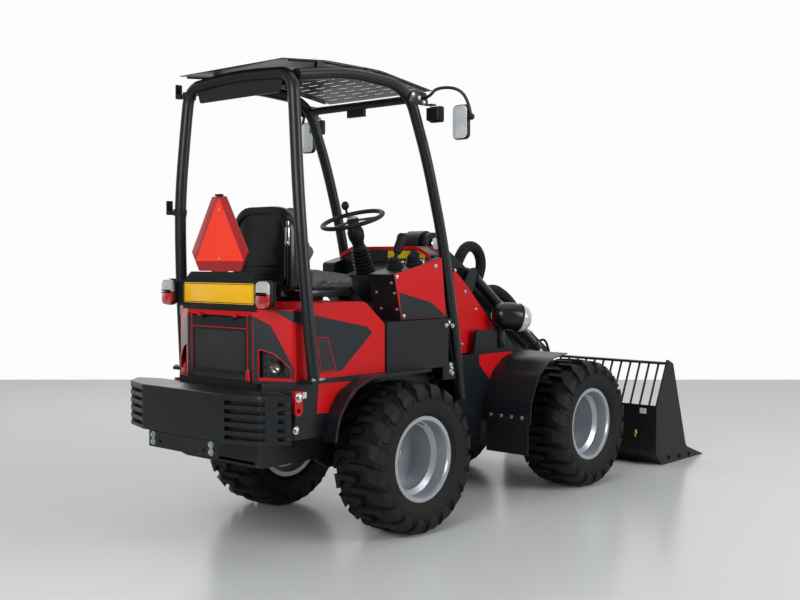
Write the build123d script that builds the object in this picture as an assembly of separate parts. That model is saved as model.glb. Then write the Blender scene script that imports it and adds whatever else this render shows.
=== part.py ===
"""A compact articulated wheel loader with canopy, single boom and bucket.

Millimetres. +X is forward, +Y the driver's left, +Z up, and the origin lies on the ground
under the middle of the whole machine. Each half is drawn from the point on the ground
under its own axle, and then set in place.
"""
import math
import os

from build123d import *

# Overall layout, along the machine from the rear.
REAR_OVERHANG = 977.0
WHEELBASE = 1503.0
FRONT_OVERHANG = 1434.0
REAR_AXLE_X = -(REAR_OVERHANG + WHEELBASE + FRONT_OVERHANG) / 2 + REAR_OVERHANG
FRONT_AXLE_X = REAR_AXLE_X + WHEELBASE
STEER_REACH = WHEELBASE / 2
RUNNING_GAP = 6.0
SHAFT_GAP = 0.05
SEAT_GAP = 0.3

# Wheels: 29 x 12.50-15 tyres on deep dished rims.
TYRE_RADIUS = 368.5
TYRE_WIDTH = 318.0
WHEEL_TRACK = 950.0
RIM_SEAT_RADIUS = 190.0
RIM_FLANGE_RADIUS = 208.0
RIM_WALL = 5.0
RIM_WIDTH = 254.0
RIM_DISC_INSET = 90.0
RIM_DISC = 9.0
HUB_RADIUS = 70.0
HUB_LENGTH = 36.0
SPINDLE_RADIUS = 30.0
HUB_CAP_RADIUS = 45.0
HUB_CAP_HEIGHT = 16.0
AXLE_TUBE_RADIUS = 58.0
AXLE_DRUM_RADIUS = 96.0
AXLE_DRUM_LENGTH = 42.0
TREAD_DEPTH = 26.0
LUG_COUNT = 20
LUG_MIDDLE_GAP = 6.0
LUG_KINK = 60.0
LUG_BAR_WIDTH = 30.0
LUG_WING_WIDTH = 86.0
LUG_SWEEP = 62.0
LUG_SLOPE = 5.0
SHOULDER_INSET = 11.0
SHOULDER_DROP = 10.0
SIDEWALL_RADIUS = 285.0
SIDEWALL_FOOT_INSET = 14.0

# Rear frame, from the ground under the rear axle.
RAIL_OUTER = 280.0
RAIL_PLATE = 20.0
RAIL_BOTTOM = 335.0
RAIL_REAR = -770.0
RAIL_FRONT = 425.0
RAIL_TAIL_BOTTOM = 388.0
BELLY_PLATE = 12.0
DECK_TOP = 785.0
DECK_PLATE = 10.0
DECK_HALF_WIDTH = 420.0
DECK_REAR = -760.0
DECK_FRONT = -64.0
SKIRT_PLATE = 10.0
SKIRT_BOTTOM = 522.0
ARCH_CLEARANCE = 66.0

# Articulation between the halves, about an upright pin.
PIN_RADIUS = 28.0
NOSE_HALF_WIDTH = 95.0
NOSE_ROOT_HALF = 150.0
NOSE_BOTTOM = 440.0
NOSE_TOP = 610.0
LUG_PLATE = 28.0
LUG_HALF_WIDTH = 80.0
PIN_HEAD_RADIUS = 44.0
PIN_HEAD = 12.0

# Counterweight with its cooling fins, and the tow plate under it.
WEIGHT_BOTTOM = 536.0
WEIGHT_TOP = 748.0
WEIGHT_FACE_HALF = 296.0
WEIGHT_HALF_WIDTH = 560.0
WEIGHT_CORNER_X = -838.0
WEIGHT_SIDE_END = -706.0
WEIGHT_WING = 118.0
FIN_GROOVE = 15.0
FIN_PITCH = 31.0
FIN_COUNT = 5
FIN_DEPTH = 26.0
TOW_PLATE_BOTTOM = 463.0
TOW_PLATE_HALF = 246.0
TOW_PLATE = 15.0
TOW_PLATE_FOOT = 140.0
TOW_BOLT_RADIUS = 9.0
TOW_BOLT_ROWS = (-212.0, -160.0, 160.0, 212.0)
TOW_EYE = (-664.0, 656.0)
TOW_EYE_RADIUS = 11.0
TOW_EYE_REACH = 24.0
TOW_EYE_TOP = 744.0
TOW_EYE_PLATE = 18.0

# Engine hood and grille.
HOOD_REAR = -758.0
HOOD_REAR_HALF = 236.0
HOOD_CORNER_X = -670.0
HOOD_HALF_WIDTH = 412.0
HOOD_FRONT = -70.0
HOOD_WALL = 6.0
HOOD_REAR_TOP = 1104.0
HOOD_TOP = 1130.0
HOOD_TOP_REAR = -550.0
HOOD_TOP_FRONT = -210.0
HOOD_FRONT_TOP = 1016.0
GRILLE_HALF = 204.0
GRILLE_BOTTOM = 800.0
GRILLE_TOP = 1072.0
GRILLE_PANEL = 10.0
GRILLE_FRAME = 16.0
GRILLE_SLATS = 11
GRILLE_HINGE = (HOOD_REAR - 12, GRILLE_TOP - 2)
GRILLE_HINGE_PIN = 2.5
GRILLE_KNUCKLE = 5.0
GRILLE_KNUCKLE_ENDS = (100.0, 120.0, 140.0)
ENGINE_SIZE = (430.0, 400.0, 450.0)
ENGINE_CENTRE_X = -390.0
ENGINE_BOTTOM = 560.0
ENGINE_BEARER = 20.0

# Operator's place.
FLOOR_TOP = 706.0
FLOOR_PLATE = 12.0
TUB_REAR = -64.0
TUB_FRONT = 410.0
TUB_HALF_WIDTH = 420.0
TUB_WALL = 10.0
WELL_HALF_WIDTH = 280.0
WALL_TOP = 1024.0
DASH_REAR = 372.0
DASH_FRONT = 468.0
DASH_HALF_WIDTH = 380.0
DASH_MIDDLE_HALF = 326.0
DASH_SIDE_TOP = 1340.0
DASH_TOP = 1392.0
CONSOLE_REAR = 30.0
CONSOLE_INNER = 205.0
CONSOLE_REAR_TOP = 1255.0
CONSOLE_FRONT = 440.0
CONSOLE_FRONT_TOP = 404.0
COLUMN_FOOT = (222.0, 0.0, 1262.0)
COLUMN_HEAD = (130.0, 0.0, 1535.0)
WHEEL_RING_RADIUS = 172.0
WHEEL_RING_SECTION = 13.0

# Seat.
SEAT_HALF_WIDTH = 215.0
CUSHION_REAR = -364.0
CUSHION_FRONT = -60.0
CUSHION_REAR_TOP = 1281.0
CUSHION_FRONT_TOP = 1244.0
CUSHION_BOTTOM = 1184.0
SEAT_PAN_BOTTOM = 1146.0
BACKSHELL_REAR = -500.0
BACKSHELL_TOP = 1585.0

# Canopy.
TUBE_RADIUS = 28.0
RAIL_Y = 365.0
ROOF_PLATE = 4.0
ROOF_HALF_WIDTH = 372.0
ROOF_SLOT = 16.0
LAMP_Y = 428.0
LAMP_SIZE = 82.0
LAMP_TOP = 2104.0
LAMP_REAR = 262.0
LAMP_FRONT = 318.0
LAMP_FINS = 7
LAMP_FIN_PITCH = 11.0
LAMP_FIN_DEPTH = 22.0
LAMP_BRACKET_PLATE = 8.0
LAMP_BRACKET_TOP = 2169.0

# Front frame, from the ground under the front axle.
CHEEK_OUTER = 300.0
CHEEK_PLATE = 16.0
CHEEK_REAR = -868.0
CHEEK_TOP = 806.0
CHEEK_CREST = 922.0
CHEEK_CREST_ENDS = (-700.0, -448.0)
TOWER_INNER = 92.0
TOWER_PLATE = 16.0
COVER_HALF_WIDTH = 250.0
COVER_WALL = 6.0
FENDER_INNER = 300.0
FENDER_OUTER = 618.0
FENDER_PLATE = 6.0
FLAP_THICKNESS = 8.0
FLAP_BOTTOM = 268.0

# Boom and its pins, from the ground under the front axle.
BOOM_PIVOT = (-843.0, 1414.0)
BOOM_KNEE = (297.0, 720.0)
BOOM_TIP = (657.0, 220.0)
BOOM_HALF_WIDTH = 56.0
BOOM_ROOT_RADIUS = 72.0
BOOM_MID_RADIUS = 64.0
BOOM_TIP_RADIUS = 52.0
HOSE_RADIUS = 32.0
HOSE_SOCKET_WALL = 6.0
HOSE_SOCKET_LENGTH = 44.0
# The two humps of hose. Columns: along the upper beam, above its axis.
REAR_HOSE = [(350, 84), (350, 150), (372, 212), (425, 248), (485, 248), (540, 212), (565, 150),
             (565, 84)]
FRONT_HOSE = [(690, 96), (718, 122), (768, 142), (835, 151), (905, 150), (972, 141), (1022, 121),
              (1050, 95)]
PIVOT_PIN_RADIUS = 25.0
TIP_PIN_RADIUS = 20.0
TIP_TUBE_HALF = 150.0

# Cylinders: where each is pinned, and its sizes.
LIFT_FOOT = (-500.0, 420.0)
LIFT_EYE_REACH = 330.0
LIFT_EYE_ANGLE = -60.0
LIFT_BARREL_RADIUS = 38.0
LIFT_BARREL_LENGTH = 560.0
TILT_FOOT = (-523.0, 1250.0)
TILT_EYE_REACH = 210.0
TILT_EYE_ANGLE = 94.0
TILT_Y = -112.0
TILT_BARREL_RADIUS = 30.0
TILT_BARREL_LENGTH = 820.0
STEER_FOOT_X = 205.0
STEER_Y = -104.0
STEER_Z = 350.0
STEER_BARREL_RADIUS = 26.0
STEER_BARREL_LENGTH = 330.0
EYE_HALF_WIDTH = 17.0
EAR_GAP = 7.0
EAR_PLATE = 14.0
EYE_PIN_RADIUS = 14.0
EYE_RADIUS = 30.0

# Bucket and its coupler.
BUCKET_HALF_WIDTH = 600.0
BUCKET_PLATE = 10.0
BUCKET_HEEL_X = 875.0
BUCKET_BACK_X = 782.0
BUCKET_BACK_TOP = 385.0
BUCKET_BACK_LEAN = 2.0
BUCKET_BACK_FOOT = 76.0
GUARD_TOP = 647.0
GUARD_TOP_X = 908.0
GUARD_BAR_RADIUS = 7.0
GUARD_PITCH = 68.0
COUPLER_HALF_WIDTH = 290.0
COUPLER_PLATE = 14.0


def outline(rows):
    """A flat face from rows of across, up and corner radius."""
    points = [(across, up) for across, up, _ in rows]
    radii = [radius for _, _, radius in rows]
    return make_face(FilletPolyline(*points, radius=radii, close=True))


def side_plate(face, low, high):
    """A face drawn in x and z, made solid from y = low to y = high."""
    return extrude(Plane.XZ.offset(-low) * face, high - low, dir=(0, 1, 0))


def flat_plate(face, low, high):
    """A face drawn in x and y, made solid from z = low to z = high."""
    return extrude(Plane.XY.offset(low) * face, high - low, dir=(0, 0, 1))


def cross_plate(face, low, high):
    """A face drawn in y and z, made solid from x = low to x = high."""
    return extrude(Plane.YZ.offset(low) * face, high - low, dir=(1, 0, 0))


def block(x_range, y_range, z_range):
    """A box between the given limits."""
    spans = (x_range, y_range, z_range)
    sizes = [high - low for low, high in spans]
    centre = [(low + high) / 2 for low, high in spans]
    return Pos(*centre) * Box(*sizes)


def rod(start, end, radius, end_radius=None):
    """A round bar or cone between two points."""
    base = Vector(*start)
    span = Vector(*end) - base
    plane = Plane(origin=base, z_dir=span)
    middle = plane.offset(span.length / 2).location
    if end_radius is None:
        return middle * Cylinder(radius, span.length)
    return middle * Cone(radius, end_radius, span.length)


def pin_y(x, z, radius, low, high):
    """A round bar along y."""
    return rod((x, low, z), (x, high, z), radius)


def widest_bends(points, share=0.45):
    """The bend radius at each inner point that takes a share of the shorter run beside it."""
    radii = []
    for before, here, after in zip(points, points[1:], points[2:]):
        arriving = Vector(*here) - Vector(*before)
        leaving = Vector(*after) - Vector(*here)
        half_turn = math.radians(arriving.get_angle(leaving) / 2)
        radii.append(share * min(arriving.length, leaving.length) / math.tan(half_turn))
    return radii


def pipe(points, radius, bends=None):
    """A round bar along straight runs joined by tangent arcs."""
    path = FilletPolyline(*points, radius=bends or widest_bends(points))
    return sweep(Plane(origin=path @ 0, z_dir=path % 0) * Circle(radius), path)


def both_sides(solid):
    """The piece and its mirror image on the other side of the machine."""
    return solid + mirror(solid, about=Plane.XZ)


def capsule(start, end, start_radius, end_radius):
    """The face around two circles, drawn in x and z."""
    first = Pos(*start) * Circle(start_radius)
    second = Pos(*end) * Circle(end_radius)
    return make_hull(first.edges() + second.edges())


def polar(centre, reach, angle):
    """The point at a reach and an angle from a centre."""
    turn = math.radians(angle)
    return (centre[0] + reach * math.cos(turn), centre[1] + reach * math.sin(turn))


def wheel_ring(out, radii, turns):
    """Points round the wheel's axis at one place across it, turning back from the top."""
    return [Vector(-radius * math.sin(turn), out, radius * math.cos(turn))
            for radius, turn in zip(radii, turns)]


def tread_phase(side):
    """Where a half's first lug lies, so that a lug's corner on one half stands straight down."""
    corner = LUG_BAR_WIDTH / 2 / TYRE_RADIUS
    return corner if side > 0 else corner + math.pi / LUG_COUNT


def lug_ring(side, out, top, floor, width, shift):
    """A ring that rises to each lug's top and falls to the groove's floor between lugs."""
    pitch = 2 * math.pi / LUG_COUNT
    half_top = width / 2 / TYRE_RADIUS
    half_floor = half_top + LUG_SLOPE / TYRE_RADIUS
    radii, turns = [], []
    for index in range(LUG_COUNT):
        middle = index * pitch + tread_phase(side) + shift / TYRE_RADIUS
        turns += [middle - half_top, middle + half_top, middle + half_floor,
                  middle + pitch - half_floor]
        radii += [top, top, floor, floor]
    return wheel_ring(side * out, radii, turns)


def plain_ring(side, out, flat_radius, count, shift=0.0):
    """A ring of count points whose flats lie at the radius."""
    step = 2 * math.pi / count
    start = tread_phase(side) + shift / TYRE_RADIUS
    if count == LUG_COUNT:
        start += step / 4
    corner = flat_radius / math.cos(step / 2)
    return wheel_ring(side * out, [corner] * count, [start + k * step for k in range(count)])


def ring_facets(fine, coarse):
    """Flat three-cornered faces between two rings, where the first may have more points."""
    step = len(fine) // len(coarse)
    faces = []
    for index, corner in enumerate(coarse):
        following = coarse[(index + 1) % len(coarse)]
        run = [fine[(index * step + k) % len(fine)] for k in range(step + 1)]
        for here, there in zip(run, run[1:]):
            faces.append(Face(Wire.make_polygon([here, there, corner])))
        faces.append(Face(Wire.make_polygon([run[-1], following, corner])))
    return faces


def half_tyre_facets(side):
    """One half's facets from the tread's middle out, down the sidewall and in to the bead."""
    half = TYRE_WIDTH / 2
    floor = TYRE_RADIUS - TREAD_DEPTH
    toe = RIM_WIDTH / 2 - 15
    heel = RIM_FLANGE_RADIUS + 2
    # Columns: out from the middle, lug top radius, groove floor radius, lug width, shift back.
    lugs = [lug_ring(side, *row) for row in (
        (LUG_MIDDLE_GAP, TYRE_RADIUS, floor, LUG_BAR_WIDTH, 0),
        (LUG_KINK, TYRE_RADIUS, floor, LUG_BAR_WIDTH, 0),
        (half - SHOULDER_INSET, TYRE_RADIUS - SHOULDER_DROP, floor - SHOULDER_DROP,
         LUG_WING_WIDTH, LUG_SWEEP),
    )]
    # Columns: out from the middle, radius of the flats, count of points.
    plain = [plain_ring(side, *row, LUG_SWEEP) for row in (
        (half, SIDEWALL_RADIUS, 2 * LUG_COUNT),
        (half - SIDEWALL_FOOT_INSET, heel + 6, LUG_COUNT),
        (toe, heel, LUG_COUNT),
        (toe, RIM_SEAT_RADIUS + SEAT_GAP, LUG_COUNT),
    )]
    middle = plain_ring(side, 0, floor, 2 * LUG_COUNT)
    faces = ring_facets(lugs[0], middle)
    for fine, coarse in zip(lugs + plain[:-1], lugs[1:] + plain):
        faces += ring_facets(fine, coarse)
    return faces, plain[-1]


def lugged_tyre():
    """A facetted tyre: lugs that alternate across the tread's middle, and an open bore."""
    left, left_bead = half_tyre_facets(1)
    right, right_bead = half_tyre_facets(-1)
    bore = ring_facets(left_bead, right_bead)
    body = Solid(Shell(left + right + bore))
    return body if body.volume > 0 else -body


def rim(side):
    """A deep dished rim with its disc far inboard, hub boss and cap."""
    half = RIM_WIDTH / 2
    disc = -RIM_DISC_INSET
    inner = RIM_SEAT_RADIUS - RIM_WALL
    well = RIM_SEAT_RADIUS - 24
    # Columns: radius, place outboard of the middle plane, corner radius.
    rows = [
        (SPINDLE_RADIUS + SHAFT_GAP, disc - HUB_LENGTH, 0), (HUB_RADIUS, disc - HUB_LENGTH, 0),
        (HUB_RADIUS, disc, 0), (well - RIM_WALL, disc, 0), (well - RIM_WALL, -half + 42, 0),
        (inner, -half + 24, 0), (inner, -half, 0), (RIM_FLANGE_RADIUS, -half, 0),
        (RIM_FLANGE_RADIUS, -half + 8, 0), (RIM_SEAT_RADIUS, -half + 14, 0),
        (RIM_SEAT_RADIUS, -half + 22, 0), (well, -half + 44, 0), (well, 34, 0),
        (RIM_SEAT_RADIUS, 52, 0), (RIM_SEAT_RADIUS, half - 14, 0),
        (RIM_FLANGE_RADIUS, half - 8, 0), (RIM_FLANGE_RADIUS, half, 0), (inner + 4, half, 0),
        (inner, half - 10, 0), (inner, 54, 0), (well - RIM_WALL, 36, 0),
        (well - RIM_WALL, disc + RIM_DISC, 0), (SPINDLE_RADIUS + SHAFT_GAP, disc + RIM_DISC, 0),
    ]
    body = revolve(outline(rows), Axis.Y)
    cap_start = disc + RIM_DISC
    cap = rod((0, cap_start, 0), (0, cap_start + HUB_CAP_HEIGHT, 0), HUB_CAP_RADIUS)
    wheel = body + cap
    if side < 0:
        wheel = mirror(wheel, about=Plane.XZ)
    return wheel


def wheel_place(side):
    """The centre of a wheel, from the ground under its axle."""
    return Pos(0, side * WHEEL_TRACK / 2, TYRE_RADIUS)


def axle():
    """An axle tube with its two hub drums and the spindles that carry the wheels."""
    boss_end = WHEEL_TRACK / 2 - RIM_DISC_INSET - HUB_LENGTH
    drum_end = boss_end - RUNNING_GAP
    spindle_end = WHEEL_TRACK / 2 - RIM_DISC_INSET + RIM_DISC - RUNNING_GAP
    body = rod((0, -drum_end, 0), (0, drum_end, 0), AXLE_TUBE_RADIUS)
    for side in (-1, 1):
        drum_start = side * (drum_end - AXLE_DRUM_LENGTH)
        body += rod((0, drum_start, 0), (0, side * drum_end, 0), AXLE_DRUM_RADIUS)
        body += rod((0, 0, 0), (0, side * spindle_end, 0), SPINDLE_RADIUS)
    return Pos(0, 0, TYRE_RADIUS) * body


def rear_frame():
    """Chassis rails, belly, tail, deck, side skirts and the nose that holds the pin."""
    rail = outline([
        (RAIL_REAR, RAIL_TAIL_BOTTOM, 30), (-420, RAIL_TAIL_BOTTOM, 60),
        (-330, RAIL_BOTTOM, 60), (RAIL_FRONT, RAIL_BOTTOM, 30),
        (RAIL_FRONT, FLOOR_TOP - FLOOR_PLATE, 0), (TUB_REAR, FLOOR_TOP - FLOOR_PLATE, 0),
        (TUB_REAR, DECK_TOP - DECK_PLATE, 0), (RAIL_REAR, DECK_TOP - DECK_PLATE, 0),
    ])
    rails = side_plate(rail, RAIL_OUTER - RAIL_PLATE, RAIL_OUTER)
    rails -= pin_y(0, TYRE_RADIUS, AXLE_TUBE_RADIUS + SEAT_GAP, 0, RAIL_OUTER + 1)
    body = both_sides(rails)
    inner = RAIL_OUTER - RAIL_PLATE
    # Cross plates between the rails. Columns: x from, x to, z from, z to.
    crosses = [
        (RAIL_REAR, RAIL_REAR + 16, RAIL_TAIL_BOTTOM + 30, DECK_TOP - DECK_PLATE),
        (RAIL_REAR + 16, -420, RAIL_TAIL_BOTTOM, RAIL_TAIL_BOTTOM + BELLY_PLATE),
        (ENGINE_CENTRE_X - 190, ENGINE_CENTRE_X - 160, ENGINE_BOTTOM - ENGINE_BEARER,
         ENGINE_BOTTOM),
        (ENGINE_CENTRE_X + 160, ENGINE_CENTRE_X + 190, ENGINE_BOTTOM - ENGINE_BEARER,
         ENGINE_BOTTOM),
        (-120, -104, RAIL_BOTTOM + 110, DECK_TOP - DECK_PLATE),
        (STEER_FOOT_X - 60, STEER_FOOT_X - 44, RAIL_BOTTOM - 20, RAIL_BOTTOM + 150),
        (RAIL_FRONT - 16, RAIL_FRONT, RAIL_BOTTOM + 70, FLOOR_TOP - FLOOR_PLATE),
        (-100, RAIL_FRONT - 16, FLOOR_TOP - FLOOR_PLATE - 10, FLOOR_TOP - FLOOR_PLATE),
    ]
    for x_low, x_high, z_low, z_high in crosses:
        body += block((x_low, x_high), (-inner, inner), (z_low, z_high))
    deck = outline([
        (DECK_REAR, -HOOD_REAR_HALF, 0), (HOOD_CORNER_X, -DECK_HALF_WIDTH, 0),
        (DECK_FRONT, -DECK_HALF_WIDTH, 0), (DECK_FRONT, DECK_HALF_WIDTH, 0),
        (HOOD_CORNER_X, DECK_HALF_WIDTH, 0), (DECK_REAR, HOOD_REAR_HALF, 0),
    ])
    body += flat_plate(deck, DECK_TOP - DECK_PLATE, DECK_TOP)
    body -= block((ENGINE_CENTRE_X - 240, ENGINE_CENTRE_X + 240), (-240, 240),
                  (DECK_TOP - DECK_PLATE - 1, DECK_TOP + 1))
    skirt = outline([
        (HOOD_CORNER_X, SKIRT_BOTTOM, 0), (DECK_FRONT, SKIRT_BOTTOM, 0),
        (DECK_FRONT, DECK_TOP - DECK_PLATE, 0), (HOOD_CORNER_X, DECK_TOP - DECK_PLATE, 0),
    ])
    skirt -= Pos(0, TYRE_RADIUS) * Circle(TYRE_RADIUS + ARCH_CLEARANCE)
    skirts = side_plate(skirt, DECK_HALF_WIDTH - SKIRT_PLATE, DECK_HALF_WIDTH)
    tail = flat_plate(outline([
        (HOOD_CORNER_X, DECK_HALF_WIDTH, 0), (HOOD_CORNER_X, DECK_HALF_WIDTH - 30, 0),
        (DECK_REAR, RAIL_OUTER - 8, 0), (DECK_REAR, RAIL_OUTER + 20, 0),
    ]), SKIRT_BOTTOM, DECK_TOP - DECK_PLATE)
    floor_web = block((-640, -560), (RAIL_OUTER, DECK_HALF_WIDTH - SKIRT_PLATE),
                      (SKIRT_BOTTOM, SKIRT_BOTTOM + 12))
    body += both_sides(skirts + tail + floor_web)
    return body + nose() + steer_foot()


def eye_ears(outer, lean, pin_reach):
    """Two level ears with their pin about the origin, reaching back or forward by lean."""
    inner = EYE_HALF_WIDTH + outer
    ear = make_hull((Circle(EYE_RADIUS + 2) + Pos(lean, 0) * Rectangle(8, 80)).edges())
    ears = Pos(0, 0, inner) * extrude(ear, EAR_PLATE)
    ears += Pos(0, 0, -inner - EAR_PLATE) * extrude(ear, EAR_PLATE)
    for side in (-1, 1):
        start = side * (inner - pin_reach)
        ears += rod((0, 0, start), (0, 0, side * (inner + EAR_PLATE + 8)), EYE_PIN_RADIUS)
    return ears


def steer_foot():
    """Ears under the floor for the foot of the steering cylinder."""
    reach = EYE_HALF_WIDTH + 1.0
    return Pos(STEER_FOOT_X, STEER_Y, STEER_Z) * eye_ears(1.0, -48, reach)


def nose():
    """The tapered box that reaches forward from the rear frame to the pin."""
    plan = outline([
        (RAIL_FRONT - 8, -NOSE_ROOT_HALF, 0), (STEER_REACH - 150, -NOSE_HALF_WIDTH, 40),
        (STEER_REACH + 62, -NOSE_HALF_WIDTH, 60), (STEER_REACH + 62, NOSE_HALF_WIDTH, 60),
        (STEER_REACH - 150, NOSE_HALF_WIDTH, 40), (RAIL_FRONT - 8, NOSE_ROOT_HALF, 0),
    ])
    body = flat_plate(plan, NOSE_BOTTOM, NOSE_TOP)
    bore = Pos(STEER_REACH, 0, (NOSE_BOTTOM + NOSE_TOP) / 2)
    return body - bore * Cylinder(PIN_RADIUS + SHAFT_GAP, NOSE_TOP - NOSE_BOTTOM + 2)


def weight_plan(inset):
    """The counterweight's outline from above, drawn in by the inset."""
    face = -REAR_OVERHANG + inset
    half = WEIGHT_HALF_WIDTH - inset
    flat_half = WEIGHT_FACE_HALF - inset * 0.4
    return outline([
        (face, -flat_half, 60), (WEIGHT_CORNER_X + inset * 0.3, -half, 60),
        (WEIGHT_SIDE_END, -half, 0), (WEIGHT_SIDE_END, half, 0),
        (WEIGHT_CORNER_X + inset * 0.3, half, 60), (face, flat_half, 60),
    ])


def counterweight():
    """A cast weight round the tail, with two banks of grooves at each corner."""
    body = flat_plate(weight_plan(0), WEIGHT_BOTTOM, WEIGHT_TOP)
    pocket = outline([
        (RAIL_REAR - SEAT_GAP, -RAIL_OUTER - 24, 0),
        (HOOD_CORNER_X - 20, -WEIGHT_HALF_WIDTH + WEIGHT_WING, 0),
        (HOOD_CORNER_X + 60, -WEIGHT_HALF_WIDTH + WEIGHT_WING, 0),
        (HOOD_CORNER_X + 60, WEIGHT_HALF_WIDTH - WEIGHT_WING, 0),
        (HOOD_CORNER_X - 20, WEIGHT_HALF_WIDTH - WEIGHT_WING, 0),
        (RAIL_REAR - SEAT_GAP, RAIL_OUTER + 24, 0),
    ])
    body -= flat_plate(pocket, WEIGHT_BOTTOM - 1, WEIGHT_TOP + 1)
    groove = weight_plan(-5) - weight_plan(FIN_DEPTH)
    # Banks of grooves. Columns: x from, x to, y from, y to.
    banks = [
        (-REAR_OVERHANG - 9, -846, WEIGHT_FACE_HALF + 10, WEIGHT_HALF_WIDTH + 9),
        (-806, WEIGHT_SIDE_END - 12, WEIGHT_FACE_HALF, WEIGHT_HALF_WIDTH + 9),
    ]
    for index in range(FIN_COUNT):
        low = WEIGHT_BOTTOM + 36 + FIN_PITCH * index
        ring = flat_plate(groove, low, low + FIN_GROOVE)
        for x_low, x_high, y_low, y_high in banks:
            window = block((x_low, x_high), (y_low, y_high), (low - 1, low + FIN_GROOVE + 1))
            body -= both_sides(ring & window)
    return body


def tow_plate():
    """An angle plate under the counterweight, with four bolt holes."""
    face = -REAR_OVERHANG
    body = block((face, face + TOW_PLATE), (-TOW_PLATE_HALF, TOW_PLATE_HALF),
                 (TOW_PLATE_BOTTOM, WEIGHT_BOTTOM))
    body += block((face, face + TOW_PLATE_FOOT), (-TOW_PLATE_HALF, TOW_PLATE_HALF),
                  (WEIGHT_BOTTOM - TOW_PLATE, WEIGHT_BOTTOM))
    middle = (TOW_PLATE_BOTTOM + WEIGHT_BOTTOM - TOW_PLATE) / 2
    for row in TOW_BOLT_ROWS:
        body -= rod((face - 1, row, middle), (face + TOW_PLATE + 1, row, middle),
                    TOW_BOLT_RADIUS)
    return body


def tow_shackles():
    """Two lifting and towing eyes on the skirts, bolted at the top and rounded below."""
    x, z = TOW_EYE
    strap = Pos(x, (z + TOW_EYE_TOP) / 2) * Rectangle(2 * TOW_EYE_REACH, TOW_EYE_TOP - z)
    face = strap + Pos(x, z) * Circle(TOW_EYE_REACH)
    face -= Pos(x, z) * Circle(TOW_EYE_RADIUS)
    return both_sides(side_plate(face, DECK_HALF_WIDTH, DECK_HALF_WIDTH + TOW_EYE_PLATE))


def hood_form(inset):
    """The hood's outer form, or its inner one drawn in by the wall."""
    plan = outline([
        (HOOD_REAR + inset, -HOOD_REAR_HALF + inset * 0.4, 0),
        (HOOD_CORNER_X + inset * 0.6, -HOOD_HALF_WIDTH + inset, 30),
        (HOOD_FRONT - inset, -HOOD_HALF_WIDTH + inset, 0),
        (HOOD_FRONT - inset, HOOD_HALF_WIDTH - inset, 0),
        (HOOD_CORNER_X + inset * 0.6, HOOD_HALF_WIDTH - inset, 30),
        (HOOD_REAR + inset, HOOD_REAR_HALF - inset * 0.4, 0),
    ])
    lift = 1 if inset else 0
    profile = outline([
        (HOOD_REAR - 20, DECK_TOP - lift, 0), (HOOD_REAR - 20, HOOD_REAR_TOP - inset - 20, 0),
        (HOOD_REAR + 10, HOOD_REAR_TOP - inset, 20), (HOOD_REAR + 70, HOOD_REAR_TOP - inset, 30),
        (HOOD_TOP_REAR, HOOD_TOP - inset, 60),
        (HOOD_TOP_FRONT, HOOD_TOP - inset, 60), (HOOD_FRONT, HOOD_FRONT_TOP - inset, 0),
        (HOOD_FRONT, DECK_TOP - lift, 0),
    ])
    tall = flat_plate(plan, DECK_TOP - lift, HOOD_TOP + 10)
    return tall & side_plate(profile, -HOOD_HALF_WIDTH - 10, HOOD_HALF_WIDTH + 10)


def engine_hood():
    """The hollow hood with its grille opening, corner arches and side vents."""
    body = hood_form(0) - hood_form(HOOD_WALL)
    body -= block((HOOD_REAR - 10, HOOD_REAR + 40), (-GRILLE_HALF, GRILLE_HALF),
                  (GRILLE_BOTTOM, GRILLE_TOP))
    arch = cross_plate(outline([
        (262, DECK_TOP + 14, 0), (398, DECK_TOP + 14, 0), (398, 842, 30), (330, 905, 40),
        (262, 925, 10),
    ]), HOOD_REAR - 20, HOOD_CORNER_X + 14)
    body -= both_sides(arch)
    body += grille_knuckles(GRILLE_KNUCKLE_ENDS[1] + SEAT_GAP, GRILLE_KNUCKLE_ENDS[2],
                            HOOD_REAR, GRILLE_HINGE[1] + 12)
    # Side vent slots. Columns: x from, x to, z from, z to.
    for row in range(5):
        low = 850 + 34 * row
        slot = block((-520 + 6 * row, -400 - 8 * row),
                     (HOOD_HALF_WIDTH - 20, HOOD_HALF_WIDTH + 10), (low, low + 18))
        body -= both_sides(slot)
    return body


def grille_knuckles(low, high, face_x, leaf_z):
    """A bored knuckle on each side, with its leaf out from a face at x."""
    x, z = GRILLE_HINGE
    knuckle = pin_y(x, z, GRILLE_KNUCKLE, low, high)
    knuckle += block((x - 3, face_x), (low, high), sorted((z, leaf_z)))
    return both_sides(knuckle - pin_y(x, z, GRILLE_HINGE_PIN + SHAFT_GAP, low - 1, high + 1))


def grille_door():
    """The service door in the hood's rear face: a framed, louvred panel hung at its top."""
    gap = RUNNING_GAP
    half = GRILLE_HALF - gap
    low = GRILLE_BOTTOM + gap
    high = GRILLE_TOP - gap
    body = block((HOOD_REAR - 2, HOOD_REAR + GRILLE_PANEL), (-half, half), (low, high))
    band_bottom = high - 62
    body -= block((HOOD_REAR - 3, HOOD_REAR + GRILLE_PANEL - 4),
                  (-half + GRILLE_FRAME, half - GRILLE_FRAME),
                  (low + GRILLE_FRAME, band_bottom))
    pitch = (band_bottom - low - GRILLE_FRAME) / GRILLE_SLATS
    for index in range(GRILLE_SLATS):
        z = low + GRILLE_FRAME + pitch * (index + 0.5)
        body += block((HOOD_REAR + 1, HOOD_REAR + GRILLE_PANEL - 3),
                      (-half + GRILLE_FRAME, half - GRILLE_FRAME), (z - 3, z + 3))
    start, middle, end = GRILLE_KNUCKLE_ENDS
    body += grille_knuckles(start, middle, HOOD_REAR - 2, GRILLE_HINGE[1] - 16)
    return body + both_sides(pin_y(*GRILLE_HINGE, GRILLE_HINGE_PIN, start, end))


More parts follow.
